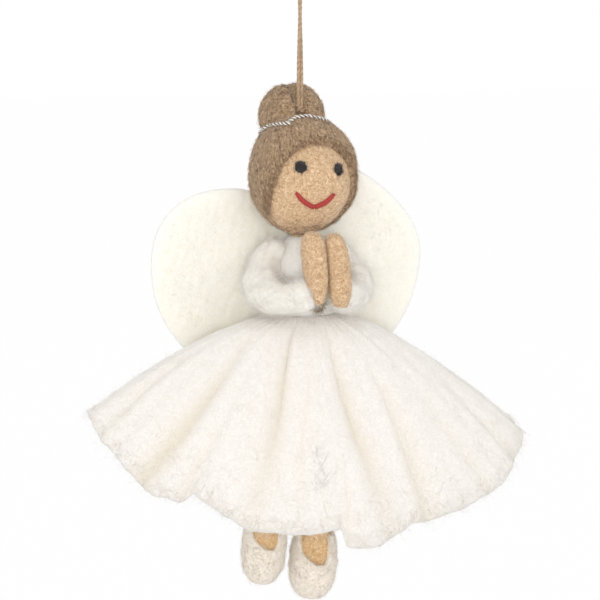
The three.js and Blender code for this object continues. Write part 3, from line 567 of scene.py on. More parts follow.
def hair_finish(name, deep, pale):
    """Combed wool: streaks along the comb attribute under crossing fibres, between two taupes."""
    material, start, shader = new_finish(
        name, {"Roughness": 0.8, "Sheen Weight": 0.2, "Sheen Roughness": 0.5, "Specular IOR Level": 0.2})
    comb = start.attribute("comb")
    fine = start.noise(comb, 2.6, 4)
    crossing, mottle, _ = crossing_fibres(start)
    share = (fine.between(0.3, 0.7) * 0.4 + crossing.between(0.48, 0.72) * 0.4
             + mottle.between(0.35, 0.65) * 0.2)
    feed(shader, "Base Color", tint(start, share, deep, pale))
    relief(shader, fine + crossing, 0.4, 0.7)
    return material


def hair_cap_grid(rows=60, columns=420, inner_rows=8):
    """Outer rows from the band down to the hairline along meridians of the topknot's axis, by the angle
    from that axis; the hair thins to the head over the last few degrees. Inner rows go back up the head."""
    angle = np.linspace(-np.pi, np.pi, columns, endpoint=False)[None]
    outline = smooth_path(HAIR_OUTLINE, 200)
    fall_of = np.degrees(np.arctan2(outline[:, 0], outline[:, 1]))
    far_of = np.linalg.norm(outline, axis=1)
    ragged = HAIRLINE_RAGGED * locks(angle, 21, (13, 29, 53))
    hairline = np.interp(np.degrees(angle - FACE_ROLL), HAIRLINE_TURN, HAIRLINE_FALL) + ragged
    share = np.linspace(0, 1, rows)[:, None]
    fall = fall_of[0] + (hairline - fall_of[0]) * share
    turn = np.broadcast_to(angle, fall.shape) + 0.05 * np.sin(3 * share)
    full = np.sqrt(1 - (1 - np.clip((hairline - fall) / HAIR_THINS_OVER, 0, 1)) ** 2)
    edge = HEAD_RADIUS + HAIR_EDGE
    comb = LOCK_DEPTH * locks(turn + 0.1 * share, 22) * np.sin(np.pi * np.clip(share * 0.9 + 0.08, 0, 1))
    turn_off = (np.degrees(turn) - SWELL_TURN) / SWELL_TURN_HALF
    side = np.exp(-(turn_off**2) - ((fall - SWELL_FALL) / SWELL_FALL_HALF) ** 2)
    far = edge + (np.interp(fall, fall_of, far_of) - edge + comb + HAIR_SIDE_SWELL * side) * full
    inner_share = np.linspace(1, 0.1, inner_rows)[:, None]
    inner_fall = fall_of[0] + (hairline - fall_of[0]) * inner_share
    fall = np.concatenate([fall, inner_fall])
    far = np.concatenate([far, np.full(inner_fall.shape, HEAD_RADIUS - HAIR_SEAT)])
    turn = np.concatenate([turn, np.broadcast_to(angle, inner_fall.shape)])
    lean = np.radians(fall)
    grid = around_topknot(turn, far * np.sin(lean), far * np.cos(lean))
    comb_map = np.stack([17 * np.cos(turn), 17 * np.sin(turn), 2.2 * lean], axis=2)
    return grid, comb_map, rows


hair_wool = hair_finish("hair_wool", HAIR_DEEP, HAIR_PALE)
hair_fibre = felt_finish("hair_fibre", dye(196, 166, 130), dye(228, 202, 168))
hair_dark = felt_finish("hair_dark_fibre", dye(84, 58, 40), dye(120, 88, 62))
cap_grid, cap_comb, cap_rows = hair_cap_grid()
hair_cap = skin("hair_cap_wool", cap_grid, hair_wool, comb=cap_comb)
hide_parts("hair_cap")
cap_outer = cap_grid[:cap_rows]
cap_wisps = fuzz("hair_cap_wisps", cap_outer, 4600, 2.2, 0.052, hair_fibre, seed=23, rise=0.34, comb=0.7)
cap_dark = fuzz("hair_cap_dark_wisps", cap_outer, 3400, 2.0, 0.048, hair_dark, seed=25, rise=0.1, comb=0.7)
hair_mid = felt_finish("hair_mid_fibre", dye(134, 104, 76), dye(172, 140, 108))
cap_edge = fuzz("hair_edge_wisps", cap_outer[-12:-2], 1500, 3.0, 0.045, hair_mid, seed=24, rise=0.3,
                curl=0.4, comb=0.8)
chin_wisps = fuzz("chin_wisps", head_grid[CHIN_ROWS], 520, 3.0, 0.05, hair_mid, seed=26, rise=0.4)
belong("head", "hair_wool", hair_cap, cap_wisps, cap_dark, cap_edge, chin_wisps)

# Bun: a hank of the same wool rolled into two turns that stand side by side, the figure's left one wider,
# with a cleft between. The twine runs down a groove in its front to the knot at the band.
BUN_BASE = 18.7
BUN_HEIGHT = 14.7
BUN_OUTLINE = [[10.1, 0], [10.8, 0.3], [9.7, 0.64], [6.3, 0.91], [0.3, 1.0]]
BUN_CLEFT = -1.6
BUN_CLEFT_HALF = 1.15
BUN_CLEFT_DEPTH = 2.0
# Place across, half width and height of the swelling of each turn.
BUN_SWELLS = [(-6.2, 3.5, 0.05), (4.8, 3, 0.25)]
BUN_STRANDS = 0.13
TWINE_GROOVE = 0.5
TWINE_GROOVE_HALF = 0.9


def bun_grid(rows=64, columns=260):
    """A domed roll about the topknot's axis. The cleft presses it in across its top and front, each turn
    swells beside it, and the twine's groove keeps its front behind the twine."""
    outline = smooth_path([[r, BUN_BASE + h * BUN_HEIGHT] for r, h in BUN_OUTLINE], rows)
    angle = np.linspace(-np.pi, np.pi, columns, endpoint=False)[None]
    angle = np.broadcast_to(angle, (rows, columns))
    rise = ((outline[:, 1] - BUN_BASE) / BUN_HEIGHT)[:, None]
    across = outline[:, :1] * np.sin(angle)
    cleft = np.exp(-(((across - BUN_CLEFT) / BUN_CLEFT_HALF) ** 2)) * np.clip(0.35 + rise, 0, 1)
    front = np.clip(0.4 + np.cos(angle), 0, 1)
    upper = np.clip(2 * rise - 1, 0, 1)
    press = BUN_CLEFT_DEPTH * cleft * np.maximum(front, upper)
    swell = sum(height * np.exp(-(((across - place) / half) ** 2)) for place, half, height in BUN_SWELLS)
    strands = BUN_STRANDS * locks(angle * 0.5 + 2.2 * rise, 31, (37, 61, 97, 149))
    grow = 1 + (swell - press + strands) * np.sin(np.pi * np.clip(rise * 0.86 + 0.1, 0, 1)) / 10
    top = np.broadcast_to(outline[:, 1:], angle.shape) - 0.5 * cleft * upper
    grid = around_topknot(angle, outline[:, :1] * grow, top)
    groove = TWINE_GROOVE - 1.2 * np.clip(np.abs(grid[..., 0]) - TWINE_GROOVE_HALF, 0, None) ** 1.5
    grid[..., 1] = np.maximum(grid[..., 1], groove)
    roll = np.hypot(across - np.where(across < BUN_CLEFT, -6, 4), 9 * rise)
    comb_map = np.stack([2.4 * roll, 0.5 * angle, 3 * rise + 0 * angle], axis=2)
    return grid, comb_map


bun, bun_comb = bun_grid()
hair_bun = skin("hair_bun_roll", bun, hair_wool, comb=bun_comb)
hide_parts("hair_bun")
bun_wisps = fuzz("hair_bun_wisps", bun[4:-4], 2000, 2.0, 0.065, hair_fibre, seed=32, rise=0.32, curl=0.35)
bun_dark = fuzz("hair_bun_dark_wisps", bun[4:-4], 1500, 1.8, 0.06, hair_dark, seed=33, rise=0.1, curl=0.35)
belong("head", "hair_wool", hair_bun, bun_wisps, bun_dark)

# Band: silver two-ply cord wound once round the foot of the bun. Its ends lap at the front, a little to the
# figure's right, and both dip there.
BAND_DIAMETER = 1.15
BAND_LAY = 3.0
BAND_START = math.radians(-30)
BAND_LAP = math.radians(6)
BAND_CLIMB = 0.9
BAND_FRONT_DROP = 2.3
BAND_LOWEST = math.radians(35)
BAND_LIFT = 0.35
HAIR_WIDENS = 0.8


def band_path(count=420):
    """A turn about the topknot's axis, lower at the front left, with both ends drawn down where they meet.
    It lies on the hair, which widens evenly on the way down."""
    share = np.linspace(0, 1, count)
    angle = BAND_START + share * (2 * np.pi + BAND_LAP)
    sway = 0.22 * np.sin(7 * angle + 1) + 0.12 * np.sin(17 * angle)
    ends = 2.6 * np.exp(-((share / 0.03) ** 2)) + 2.2 * np.exp(-(((1 - share) / 0.08) ** 2))
    tilt = BAND_FRONT_DROP * (1 + np.cos(angle - BAND_LOWEST)) / 2
    drop = tilt - BAND_CLIMB * (0.5 - share) + ends - sway
    out = BAND_RADIUS + BAND_LIFT + HAIR_WIDENS * np.maximum(drop, 0)
    return around_topknot(angle, out, BAND_HEIGHT - drop)


def silver_finish(name):
    """Metal-wrapped thread: a painted glint on the lobes of the lay, dimmed in slow patches, and painted
    shade where the plies sink in.
    """
    material, start, shader = new_finish(name, {"Roughness": 0.4, "Metallic": 0.2})
    lay = start.attribute("lay")
    lobe = lay.part(2)
    grain = start.noise(lay, 6, 2)
    glint_breaks = start.noise(lay, 1.3, 1)
    # Painted glint on the lobes and painted shade between them.
    share = lobe.between(0.45, 0.8) * (0.8 + 0.4 * grain) * (0.4 + 0.6 * glint_breaks.between(0.4, 0.52))
    feed(shader, "Base Color", tint(start, share, dye(104, 84, 64), dye(255, 253, 248)))
    relief(shader, grain, 0.12, 0.5)
    return material


silver_cord = silver_finish("silver_cord")
band = twine_piece("silver_band", band_path(), TOPKNOT_UP, BAND_DIAMETER, BAND_LAY, silver_cord, sides=12,
                   lobe=0.34)
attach(band, "head")
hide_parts("hair_band")

# Face: two dots of dark wool needled into the head, and a smile sewn in two strokes of red thread that meet
# at the middle of the lip.
EYE_RADIUS = 1.95
EYE_BULGE = 0.8
EYE_ROWS = 14
EYES = {"left": (25, 16), "right": (-25, 16)}
SMILE_SHIFT = -3.5
SMILE_HALF = 24.5
SMILE_LATITUDES = (-10.5, -19.9, -25.2)
SMILE_REACH = (1, 0.55, 0.03)
SMILE_RADIUS = 0.92
SMILE_LIFT = 0.25
STROKE_POINTS = 70
STROKE_SIDES = 14


def face_point(longitude, latitude, far=HEAD_RADIUS + 0.15):
    """Point of the head by longitude and latitude of the face, which is rolled and turned a little."""
    lon, lat = np.radians(longitude), np.radians(latitude)
    x, y, z = np.cos(lat) * np.sin(lon), -np.cos(lat) * np.cos(lon), np.sin(lat) + 0 * lon
    cos, sin = math.cos(FACE_ROLL), math.sin(FACE_ROLL)
    x, z = x * cos + z * sin, z * cos - x * sin
    cos, sin = math.cos(FACE_TURN), math.sin(FACE_TURN)
    x, y = x * cos - y * sin, x * sin + y * cos
    return HEAD + far * np.stack([x, y, z], axis=-1)


def eye_grid(middle, seed, columns=48):
    """A low lens on the head: rings from its crown out to its ragged rim, then in under the surface."""
    out = unit(middle - HEAD)
    side = unit(np.cross(Z_AXIS, out))
    up = np.cross(out, side)
    angle = full_turn(columns)
    random = np.random.default_rng(seed)
    rim = 1 + 0.05 * sum(np.sin(k * angle + random.uniform(0, 6.28)) for k in (2, 5, 9, 14))
    dome = np.linspace(0.04, 1, EYE_ROWS)
    share = np.concatenate([dome, [0.8, 0.3]])[:, None]
    height = np.concatenate([EYE_BULGE * np.sqrt(1 - dome**2), [-0.4, -0.5]])[:, None]
    flat = np.cos(angle)[:, None] * side + np.sin(angle)[:, None] * up
    return middle + (share * rim * EYE_RADIUS)[..., None] * flat + height[..., None] * out


def thread_finish(name, deep, pale):
    """Stranded sewing thread: streaks along the lay of its strands."""
    material, start, shader = new_finish(name, {"Roughness": 0.6, "Sheen Weight": 0.2})
    streak = start.noise(start.attribute("lay"), 2.4, 3)
    feed(shader, "Base Color", tint(start, streak.between(0.3, 0.7), deep, pale))
    relief(shader, streak, 0.2, 0.6)
    return material


eye_wool = felt_finish("eye_wool", dye(30, 27, 29), dye(78, 70, 70))
smile_thread = thread_finish("smile_thread", dye(136, 26, 24), dye(198, 60, 50))
for side, (longitude, latitude) in EYES.items():
    lens_grid = eye_grid(face_point(np.array(longitude), np.array(latitude)), 41 + longitude)
    lens = skin(f"{side}_eye_dot", lens_grid, eye_wool)
    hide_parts(f"{side}_eye")
    eye_fibres = fuzz(f"{side}_eye_fibres", lens_grid[:EYE_ROWS], 200, 1.5, 0.04, eye_wool,
                      seed=43 + longitude, outward=-1)
    belong("head", "eye_wool", lens, eye_fibres)
for side, sign in (("left", 1), ("right", -1)):
    longitudes = SMILE_SHIFT + sign * SMILE_HALF * np.array(SMILE_REACH)
    stroke = smooth_path(face_point(longitudes, np.array(SMILE_LATITUDES)), STROKE_POINTS)
    stroke = with_jaw(HEAD + unit(stroke - HEAD) * (HEAD_RADIUS + SMILE_LIFT))
    full = np.sqrt(np.clip(1 - np.linspace(1, -0.45, STROKE_POINTS) ** 4, 0, 1))[:, None]
    way = way_along(stroke)[:, None]
    twist = full_turn(STROKE_SIDES)[None] - 2.4 * way
    strand_map = np.stack([2 * np.cos(twist), 2 * np.sin(twist), 0.2 * way + 0 * twist], axis=2)
    ridges = SMILE_RADIUS * (0.93 + 0.1 * np.cos(3 * twist)) * (0.3 + 0.7 * full)
    rings = tube(stroke, stroke - HEAD, ridges, STROKE_SIDES)
    stitch = skin(f"mouth_{side}_stroke", rings, smile_thread, lay=strand_map)
    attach(stitch, "head")
    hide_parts(f"mouth_{side}_stitch")

# Neck, torso and bodice: a felted core with a short neck, wrapped from shoulder to waist in loose white
# wool, fuller over the chest. A wire runs from the head through the neck, another across the shoulders.
TORSO_TOP = np.array([0, -2.956, -96.02])
NECK_OUTLINE = [[0.3, 0.3], [4.5, 0.35], [4.5, 1.2], [4.2, 2.4], [4.2, 5.6], [3.9, 7.5], [0.3, 7.6]]
TORSO_OUTLINE = [
    [0.3, -36.6], [3.1, -36.4], [4.3, -35], [4.3, -30.6], [9, -28.5], [8.2, -23], [9.2, -9], [8.2, -2.5],
    [4.6, -0.1], [0.3, 0],
]
CHEST_MIDDLE = np.array([0, 0, -7.5])
CHEST_HALF = np.array([5.0, 5.0, 6.5])
CHEST_FULL = 3.6
BODICE_OUTLINE = [
    [4.9, 3.0], [6.0, 1.8], [7.8, -0.6], [9.4, -2.6], [10.5, -5], [10.8, -9], [10.7, -15], [11.1, -20],
    [10.9, -22.2], [9.9, -22.0], [9.3, -15], [9.5, -9], [9.1, -4.4], [7.0, -1.6], [4.6, 2.3],
]


def turned(outline, middle, rows, columns, uneven=0.0, size=6, seed=5):
    """Outline of radii and heights turned about Z, its radius changed a little by soft waves."""
    path = smooth_path(outline, rows)
    angle = full_turn(columns)[None]
    way = np.stack([np.sin(angle), -np.cos(angle), 0 * angle], axis=2)
    grid = middle + path[:, :1, None] * way + path[:, 1:, None] * Z_AXIS
    bulge = uneven * waves(grid, size, seed) * np.clip(path[:, :1] / 2, 0, 1)
    return grid + bulge[..., None] * way


# The white wool's crease colour is painted shade, for the dimple at each sleeve's crook.
white_wool = felt_finish("white_wool", dye(250, 241, 229), dye(255, 252, 244), depth=0.3,
                         crease=dye(132, 112, 78), loose=0.7)
white_fibre = felt_finish("white_fibre", dye(250, 244, 235), dye(255, 253, 248))
tuft_fibre = felt_finish("tuft_fibre", dye(120, 98, 72), dye(178, 152, 118))
neck_grid = turned(NECK_OUTLINE, TORSO_TOP, 30, 48, 0.12, 4)
neck = skin("neck_roll", neck_grid, skin_felt)
neck_fuzz = fuzz("neck_fuzz", neck_grid[3:-6], 260, 2.4, 0.05, skin_fibre, seed=51, rise=0.2)
torso = skin("torso_core", turned(TORSO_OUTLINE, TORSO_TOP, 60, 56, 0.15), skin_felt)
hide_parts("torso")
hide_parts("neck")
bodice_grid = turned(BODICE_OUTLINE, TORSO_TOP, 44, 72, 0.1)
from_chest = (bodice_grid - TORSO_TOP - CHEST_MIDDLE) / CHEST_HALF
ahead = np.clip(-unit(from_chest)[..., 1], 0, 1)
bodice_grid[..., 1] -= CHEST_FULL * ahead * np.exp(-from_chest[..., 0] ** 2 - from_chest[..., 2] ** 2)
bodice = skin("bodice_wrap", bodice_grid, white_wool, crease=0 * bodice_grid)
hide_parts("bodice")
bodice_fluff = fuzz("bodice_fluff", bodice_grid[1:26], 1700, 5, 0.036, white_fibre, seed=52, rise=0.6)
belong("torso", "skin_felt", neck, neck_fuzz, torso)
belong("torso", "white_wool", bodice, bodice_fluff)


def steel_finish(name):
    """Drawn wire: grey steel with fine scuffs."""
    material, start, shader = new_finish(name, {"Metallic": 1.0})
    place = start.node("ShaderNodeTexCoord", {}, {}, "Object")
    scuff = start.noise(place, 1500, 3)
    feed(shader, "Base Color", tint(start, scuff, dye(120, 121, 124), dye(160, 161, 164)))
    feed(shader, "Roughness", 0.3 + 0.25 * scuff)
    return material


steel_wire = steel_finish("steel_wire")
for node in ("neck_wire", "shoulder_wire", "left_arm_wire", "right_arm_wire"):
    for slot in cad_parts[node].material_slots:
        slot.material = steel_wire

# Arms: each sleeve is loose white wool wound thick round a bent wire, so that it makes a soft puff with a
# dimple at the crook. The hands are flat felt paddles, pressed palm to palm under the chin.
SHOULDER = np.array([10.5, 0, -3])
CROOK = np.array([19.8, -0.6, -17.4])
WRIST = np.array([7, -19.5, -14.6])
SLEEVE_RADII = [5.2, 6.8, 7.5, 7.3, 5.2]
DIMPLE = np.array([10.8, -13.0, -6.9])
DIMPLE_WIDTH = 3.0
DIMPLE_DEPTH = 2.6
DIMPLE_SHAPE = np.array([1, 0.6, 0.5])
CHEST_ROOM = 11.3
CHEST_ROOM_TOP = -5.5
CHEST_ROOM_EASE = 3
HAND_LENGTH = 24.1
HAND_OUTLINES = {
    "left": [
        [0.05, 0], [0.55, 0.03], [0.9, 0.2], [1, 0.5], [0.93, 0.76], [0.62, 0.93], [0.3, 0.985], [0.05, 1],
    ],
    "right": [
        [0.05, 0], [0.36, 0.04], [0.78, 0.24], [1, 0.56], [0.97, 0.78], [0.64, 0.94], [0.3, 0.985], [0.05, 1],
    ],
}
HAND_LEAN = 2.4
CUFF = np.array([-1.6, -18.8, -18.2])
CUFF_RADIUS = 1.8
HAND_THICK = 4.2
HAND_WIDE = 4.3
HAND_FORWARD = 23.4
HAND_TOP = {"left": 5.7, "right": 6.6}
HAND_OUT = 3.75
PALM = 0.15
PALM_SHARPNESS = 3


def sleeve_grid(sign, rows=48, columns=84, cap_rows=9):
    """A tube along the curve that bends at the crook, with domed ends. Soft waves make it lumpy, and points
    that would lie in the chest move out from its axis."""
    share = np.linspace(0, 1, rows)[:, None]
    line = (1 - share) ** 2 * SHOULDER + 2 * share * (1 - share) * CROOK + share**2 * WRIST
    radii = smooth_path([[i / 4, r] for i, r in enumerate(SLEEVE_RADII)], rows)[:, 1]
    bow = np.linspace(0.46 * np.pi, 0.04 * np.pi, cap_rows)
    start_way, end_way = unit(line[0] - line[1]), unit(line[-1] - line[-2])
    start = line[0] + radii[0] * np.sin(bow)[:, None] * start_way
    end = line[-1] + radii[-1] * np.sin(bow[::-1])[:, None] * end_way
    path = np.concatenate([start, line, end])
    radius = np.concatenate([radii[0] * np.cos(bow), radii, radii[-1] * np.cos(bow[::-1])])[:, None]
    plane = unit(np.cross(CROOK - SHOULDER, WRIST - CROOK))
    grid = tube(path, plane, radius, columns)
    middle = path[:, None]
    lumps = 1 + 0.055 * waves(grid, 7, 61) + 0.03 * waves(grid, 3, 62)
    grid = middle + (grid - middle) * lumps[..., None]
    off_axis = np.hypot(grid[..., 0], grid[..., 1])
    room = CHEST_ROOM * np.clip((CHEST_ROOM_TOP - grid[..., 2]) / CHEST_ROOM_EASE, 0, 1)
    push = np.maximum(room / np.maximum(off_axis, 0.1), 1)[..., None]
    grid = grid * np.concatenate([push, push, np.ones_like(push)], axis=2)
    sunk = np.exp(-((np.linalg.norm((grid - DIMPLE) * DIMPLE_SHAPE, axis=2) / DIMPLE_WIDTH) ** 2))
    grid = grid + DIMPLE_DEPTH * sunk[..., None] * unit(middle - grid)
    # The dimple's share is also painted shade: it tints the wool towards its crease colour.
    crease = np.stack([sunk, 0 * sunk, 0 * sunk], axis=2)
    return grid * [sign, 1, 1] + TORSO_TOP, crease


def hand_grid(side, sign, rows=44, columns=56):
    """A flattened egg that stands on its point, with its inner side pressed flat at the palm. Both hands
    lean the same way, so that their lower ends lie a little to the figure's left."""
    path = smooth_path(HAND_OUTLINES[side], rows)
    angle = full_turn(columns)[None]
    radius, height = path[:, :1], path[:, 1:]
    aside = HAND_OUT + HAND_THICK * radius * np.sin(angle)
    ahead = -HAND_FORWARD - HAND_WIDE * radius * np.cos(angle)
    up = HAND_TOP[side] - HAND_LENGTH * (1 - height) + 0 * angle
    grid = np.stack([aside, ahead, up], axis=2)
    grid = grid + 0.12 * waves(grid, 5, 63)[..., None] * unit(grid - grid.mean(axis=(0, 1)))
    grid[..., 0] = PALM + np.log1p(np.exp(PALM_SHARPNESS * (grid[..., 0] - PALM))) / PALM_SHARPNESS
    grid = grid * [sign, 1, 1]
    grid[..., 0] += HAND_LEAN * (0.5 - height)
    return grid + TORSO_TOP


for side, sign in (("left", 1), ("right", -1)):
    puff, puff_crease = sleeve_grid(sign)
    sleeve = skin(f"{side}_sleeve_puff", puff, white_wool, crease=puff_crease)
    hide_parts(f"{side}_sleeve")
    fluff = fuzz(f"{side}_sleeve_fluff", puff, 4600, 4.8, 0.03, white_fibre, seed=64 + sign, rise=0.5)
    paddle = hand_grid(side, sign)
    hand = skin(f"{side}_hand_paddle", paddle, skin_felt)
    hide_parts(f"{side}_hand")
    bare = paddle[2:-2]
    hand_fuzz = fuzz(f"{side}_hand_fuzz", bare, 700, 2.2, 0.06, skin_fibre, seed=67 + sign, rise=0.18)
    hand_dark = fuzz(f"{side}_hand_dark_fuzz", bare, 280, 1.8, 0.05, skin_dark, seed=70 + sign, rise=0.12)
    belong(f"{side}_arm", "white_wool", sleeve, fluff)
    belong(f"{side}_arm", "skin_felt", hand, hand_fuzz, hand_dark)
cuff = ball(TORSO_TOP + CUFF, CUFF_RADIUS, 14, 24)
cuff_tuft = fuzz("right_cuff_tuft", cuff, 300, 3.2, 0.04, tuft_fibre, seed=73, rise=0.6)
belong("right_arm", "skin_felt", cuff_tuft)

# Skirt: one sheet of thin white felt, cut as a circle and gathered at the waist with a thread. It falls in
# uneven folds between creases, wide to the sides, and its hem is left raw.
WAIST_DROP = 23
COLLAR_RADIUS = 9.1
COLLAR_HEIGHT = 1.2
SKIRT_LENGTH = 75.5
SKIRT_LENGTH_SHIFT = 4
SKIRT_SIDE_SPREAD = 0.883
SKIRT_SIDE_SPREAD_SHIFT = -0.022
SKIRT_FRONT_SPREAD = 0.388
SKIRT_BACK_SPREAD = 0.227
SKIRT_SHOULDER = (0.4, 0.12)
# Direction round the waist in degrees, from the front to the figure's left, and the hem's share of the
# length.
SKIRT_HEM = [
    (-91, 0.985), (-72, 1.03), (-50, 1.06), (-43.5, 1.02), (-41, 0.955), (-23, 1.012), (-8, 0.976),
    (0.4, 0.94), (1.6, 1.024), (9, 1.036), (21, 0.964), (50, 1.018), (75, 0.99), (130, 0.97), (200, 0.92),
    (240, 0.92), (269, 0.985),
]
# Direction, depth, share of the way down where it starts, half width in degrees, and share where it ends.
SKIRT_CREASES = [
    (-76, 1.6, 0.5, 8, 1), (-55, 4.4, 0.24, 10, 1), (-41, 2.8, 0.7, 4, 1), (-24, 4.4, 0.06, 10, 0.6),
    (-9, 1.2, 0.3, 6, 0.7), (1, 2.4, 0.75, 3, 1), (12, 4.4, 0.12, 9, 0.65), (27, 3.2, 0.42, 8, 1),
    (44, 1.4, 0.55, 7, 1), (62, 1.6, 0.5, 8, 1), (86, 2.6, 0.3, 10, 1), (112, 3.0, 0.2, 12, 1),
    (140, 2.4, 0.3, 10, 1), (166, 3.0, 0.2, 12, 1), (194, 2.4, 0.3, 10, 1), (220, 3.0, 0.2, 12, 1),
    (250, 2.4, 0.3, 10, 1),
]
CREASE_REACH = 0.6
# Share of the crease colour, painted shade, at the bottom of a crease.
CREASE_SHADE = 0.75
HEM_RAGGED = 0.45
RIPPLE = 0.45
FINE_RIPPLE = 0.3
GATHERS = 0.3
SKIRT_LIFT = 1.2
FELT_THICK = 1.1
HEM_THICK = 0.5
SKIRT_OUT = 1


def skirt_creases(turn, down):
    """Sum of the creases, and how deep in a crease each point lies. A crease is a sharp valley that sways
    a little, deepens from where it starts and fades from where it ends."""
    depth, sunk = 0, 0
    for aim, deepest, start, half, end in SKIRT_CREASES:
        sway = 2.2 * np.sin(5 * down + aim)
        aside = np.abs((turn + sway - aim + 180) % 360 - 180) / half
        grown = np.clip((down - start) / CREASE_REACH, 0, 1)
        grown = grown * (2 - grown) * (1 - 0.7 * np.clip((down - end) / 0.35, 0, 1))
        depth = depth + deepest * grown * np.exp(0.2 - 1.5 * np.sqrt(aside**2 + 0.018))
        # How deep in a crease a point lies sets only the painted shade of the crease colour.
        sunk = sunk + deepest / 5.6 * grown * np.exp(-((3 * aside) ** 2))
    return depth, np.clip(sunk, 0, 1)


def skirt_sheet(rows=84, columns=576):
    """Middle of the sheet by direction round the waist and way down it. Each direction leaves the waist
    flat and falls on a quadratic curve whose hem lies a set share of the length out. The creases press in
    along the curve's normal. Returns the points, the felt's normals and how deep in a crease each lies."""
    around = np.radians(np.linspace(-91, 269, columns, endpoint=False))[None]
    side, front = np.sin(around), np.cos(around)
    deep = SKIRT_BACK_SPREAD + (SKIRT_FRONT_SPREAD - SKIRT_BACK_SPREAD) * (1 + front) / 2
    wide = SKIRT_SIDE_SPREAD + SKIRT_SIDE_SPREAD_SHIFT * side
    random = np.random.default_rng(81)
    ragged = sum(np.sin(k * around + random.uniform(0, 6.28)) / k**0.4 for k in (9, 14, 23, 37, 61, 97))
    turn = np.degrees(around)
    hem = np.interp(turn, *np.transpose(SKIRT_HEM))
    length = (SKIRT_LENGTH + SKIRT_LENGTH_SHIFT * side) * hem + HEM_RAGGED * ragged
    aim = np.stack([wide * side, -deep * front], axis=2)
    spread = np.linalg.norm(aim, axis=2)
    aim = aim / spread[..., None]
    run, drop = length * spread, length * np.sqrt(1 - spread**2)
    down = np.linspace(0, 1, rows)[:, None] ** 0.85
    bend, fall = 2 * down * (1 - down), down**2
    far = (bend * SKIRT_SHOULDER[0] + fall) * run
    height = -(bend * SKIRT_SHOULDER[1] + fall) * drop
    slope_far = ((2 - 4 * down) * SKIRT_SHOULDER[0] + 2 * down) * run
    slope_height = -((2 - 4 * down) * SKIRT_SHOULDER[1] + 2 * down) * drop
    steep = np.hypot(slope_far, slope_height)
    depth, sunk = skirt_creases(turn, down)
    ripple = (RIPPLE * down * np.sin(23 * around + 4 * down) * np.sin(7 * around)
              + FINE_RIPPLE * down**2 * np.sin(41 * around + 3))
    gathers = GATHERS * np.sin(46 * around + np.sin(5 * around)) * np.exp(-5 * down) * np.clip(8 * down, 0, 1)
    lift = SKIRT_LIFT * down - depth + ripple + gathers
    reach = far - lift * slope_height / steep
    rise = height + lift * slope_far / steep
    waist = np.stack([COLLAR_RADIUS * side, -COLLAR_RADIUS * front], axis=2)
    plan = waist + reach[..., None] * aim
    sheet = np.concatenate([plan, (rise - WAIST_DROP)[..., None]], axis=2)
    collar = np.concatenate([waist, np.full((1, columns, 1), COLLAR_HEIGHT - WAIST_DROP)], axis=2)
    sheet = np.concatenate([collar, sheet])
    sheet += (0.16 * waves(sheet, 6, 82) + 0.08 * waves(sheet, 2.6, 83))[..., None] * [0.3, -0.6, 0.7]
    closed = np.concatenate([sheet[:, -1:], sheet, sheet[:, :1]], axis=1)
    out = unit(np.cross(np.gradient(sheet, axis=0), closed[:, 2:] - closed[:, :-2]))
    if (out[-1] * np.concatenate([aim[0], np.zeros((columns, 1))], axis=1)).sum() < 0:
        out = -out
    sunk = np.concatenate([sunk[:1], sunk])
    return sheet + TORSO_TOP, out, sunk


def sheet_shell(sheet, out, thick):
    """Outer face down, inner face back up: the sheet moved half its thickness each way along its normal."""
    half = thick[:, None, None] / 2
    return np.concatenate([sheet + half * out, (sheet - half * out)[::-1]])


# The skirt's crease colour is painted shade in the valleys of its folds.
skirt_felt = felt_finish("skirt_felt", dye(233, 227, 219), dye(247, 242, 236), depth=0.25,
                         crease=dye(216, 204, 182), loose=0.35)
sheet, sheet_out, sheet_sunk = skirt_sheet()
thick = np.interp(np.linspace(0, 1, len(sheet)), [0, 0.8, 1], [FELT_THICK, FELT_THICK, HEM_THICK])
crease_shade_map = np.stack([CREASE_SHADE * sheet_sunk, 0 * sheet_sunk, 0 * sheet_sunk], axis=2)
skirt = skin("skirt_sheet", sheet_shell(sheet, sheet_out, thick), skirt_felt,
             crease=np.concatenate([crease_shade_map, crease_shade_map[::-1]]))
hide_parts("skirt")
skirt_face = sheet + FELT_THICK / 2 * sheet_out
skirt_fibres = fuzz("skirt_fibres", skirt_face, 4600, 5.5, 0.04, white_fibre, seed=84, rise=0.06, curl=0.35)
hem_fibres = fuzz("hem_fibres", skirt_face[-5:], 2800, 3.6, 0.03, white_fibre, seed=85, rise=0.15, curl=0.45,
                  comb=0.8)
# Painted shade: grey fibres stand for the shadows of the thinned, lacy spot at the front of the skirt.
lace_painted_shade_fibre = felt_finish("lace_painted_shade_fibre", dye(214, 212, 210), dye(232, 230, 228))
lace = skirt_face[60:74, 134:142]
lace_fibres = fuzz("lace_fibres", lace, 60, 5.0, 0.045, lace_painted_shade_fibre, seed=86, outward=SKIRT_OUT, rise=0.05,
                   curl=0.08, comb=0.1, lean=2.5)
waist_fluff = fuzz("waist_fluff", skirt_face[3:16], 700, 5.0, 0.03, white_fibre, seed=87, rise=1.1, curl=0.5)
belong("torso", "skirt_felt", skirt, skirt_fibres, hem_fibres, lace_fibres, waist_fluff)

# Threads: white sewing thread gathers the skirt at the waist, and another length runs through the tops of
# both legs and the foot of the torso.
THREAD_DIAMETER = 0.8
THREAD_LAY = 1.8
THREAD_SIDES = 10
WAIST_THREAD_DROP = 22
WAIST_THREAD_RADIUS = 10.0
HIP_DROP = 33
HIP_THREAD_HALF = 9.9


def ring_path(middle, radius, count):
    """A circle about Z, from its front round to its front again."""
    angle = np.linspace(0, 2 * np.pi, count)
    return middle + radius * np.stack([np.sin(angle), -np.cos(angle), 0 * angle], axis=1)


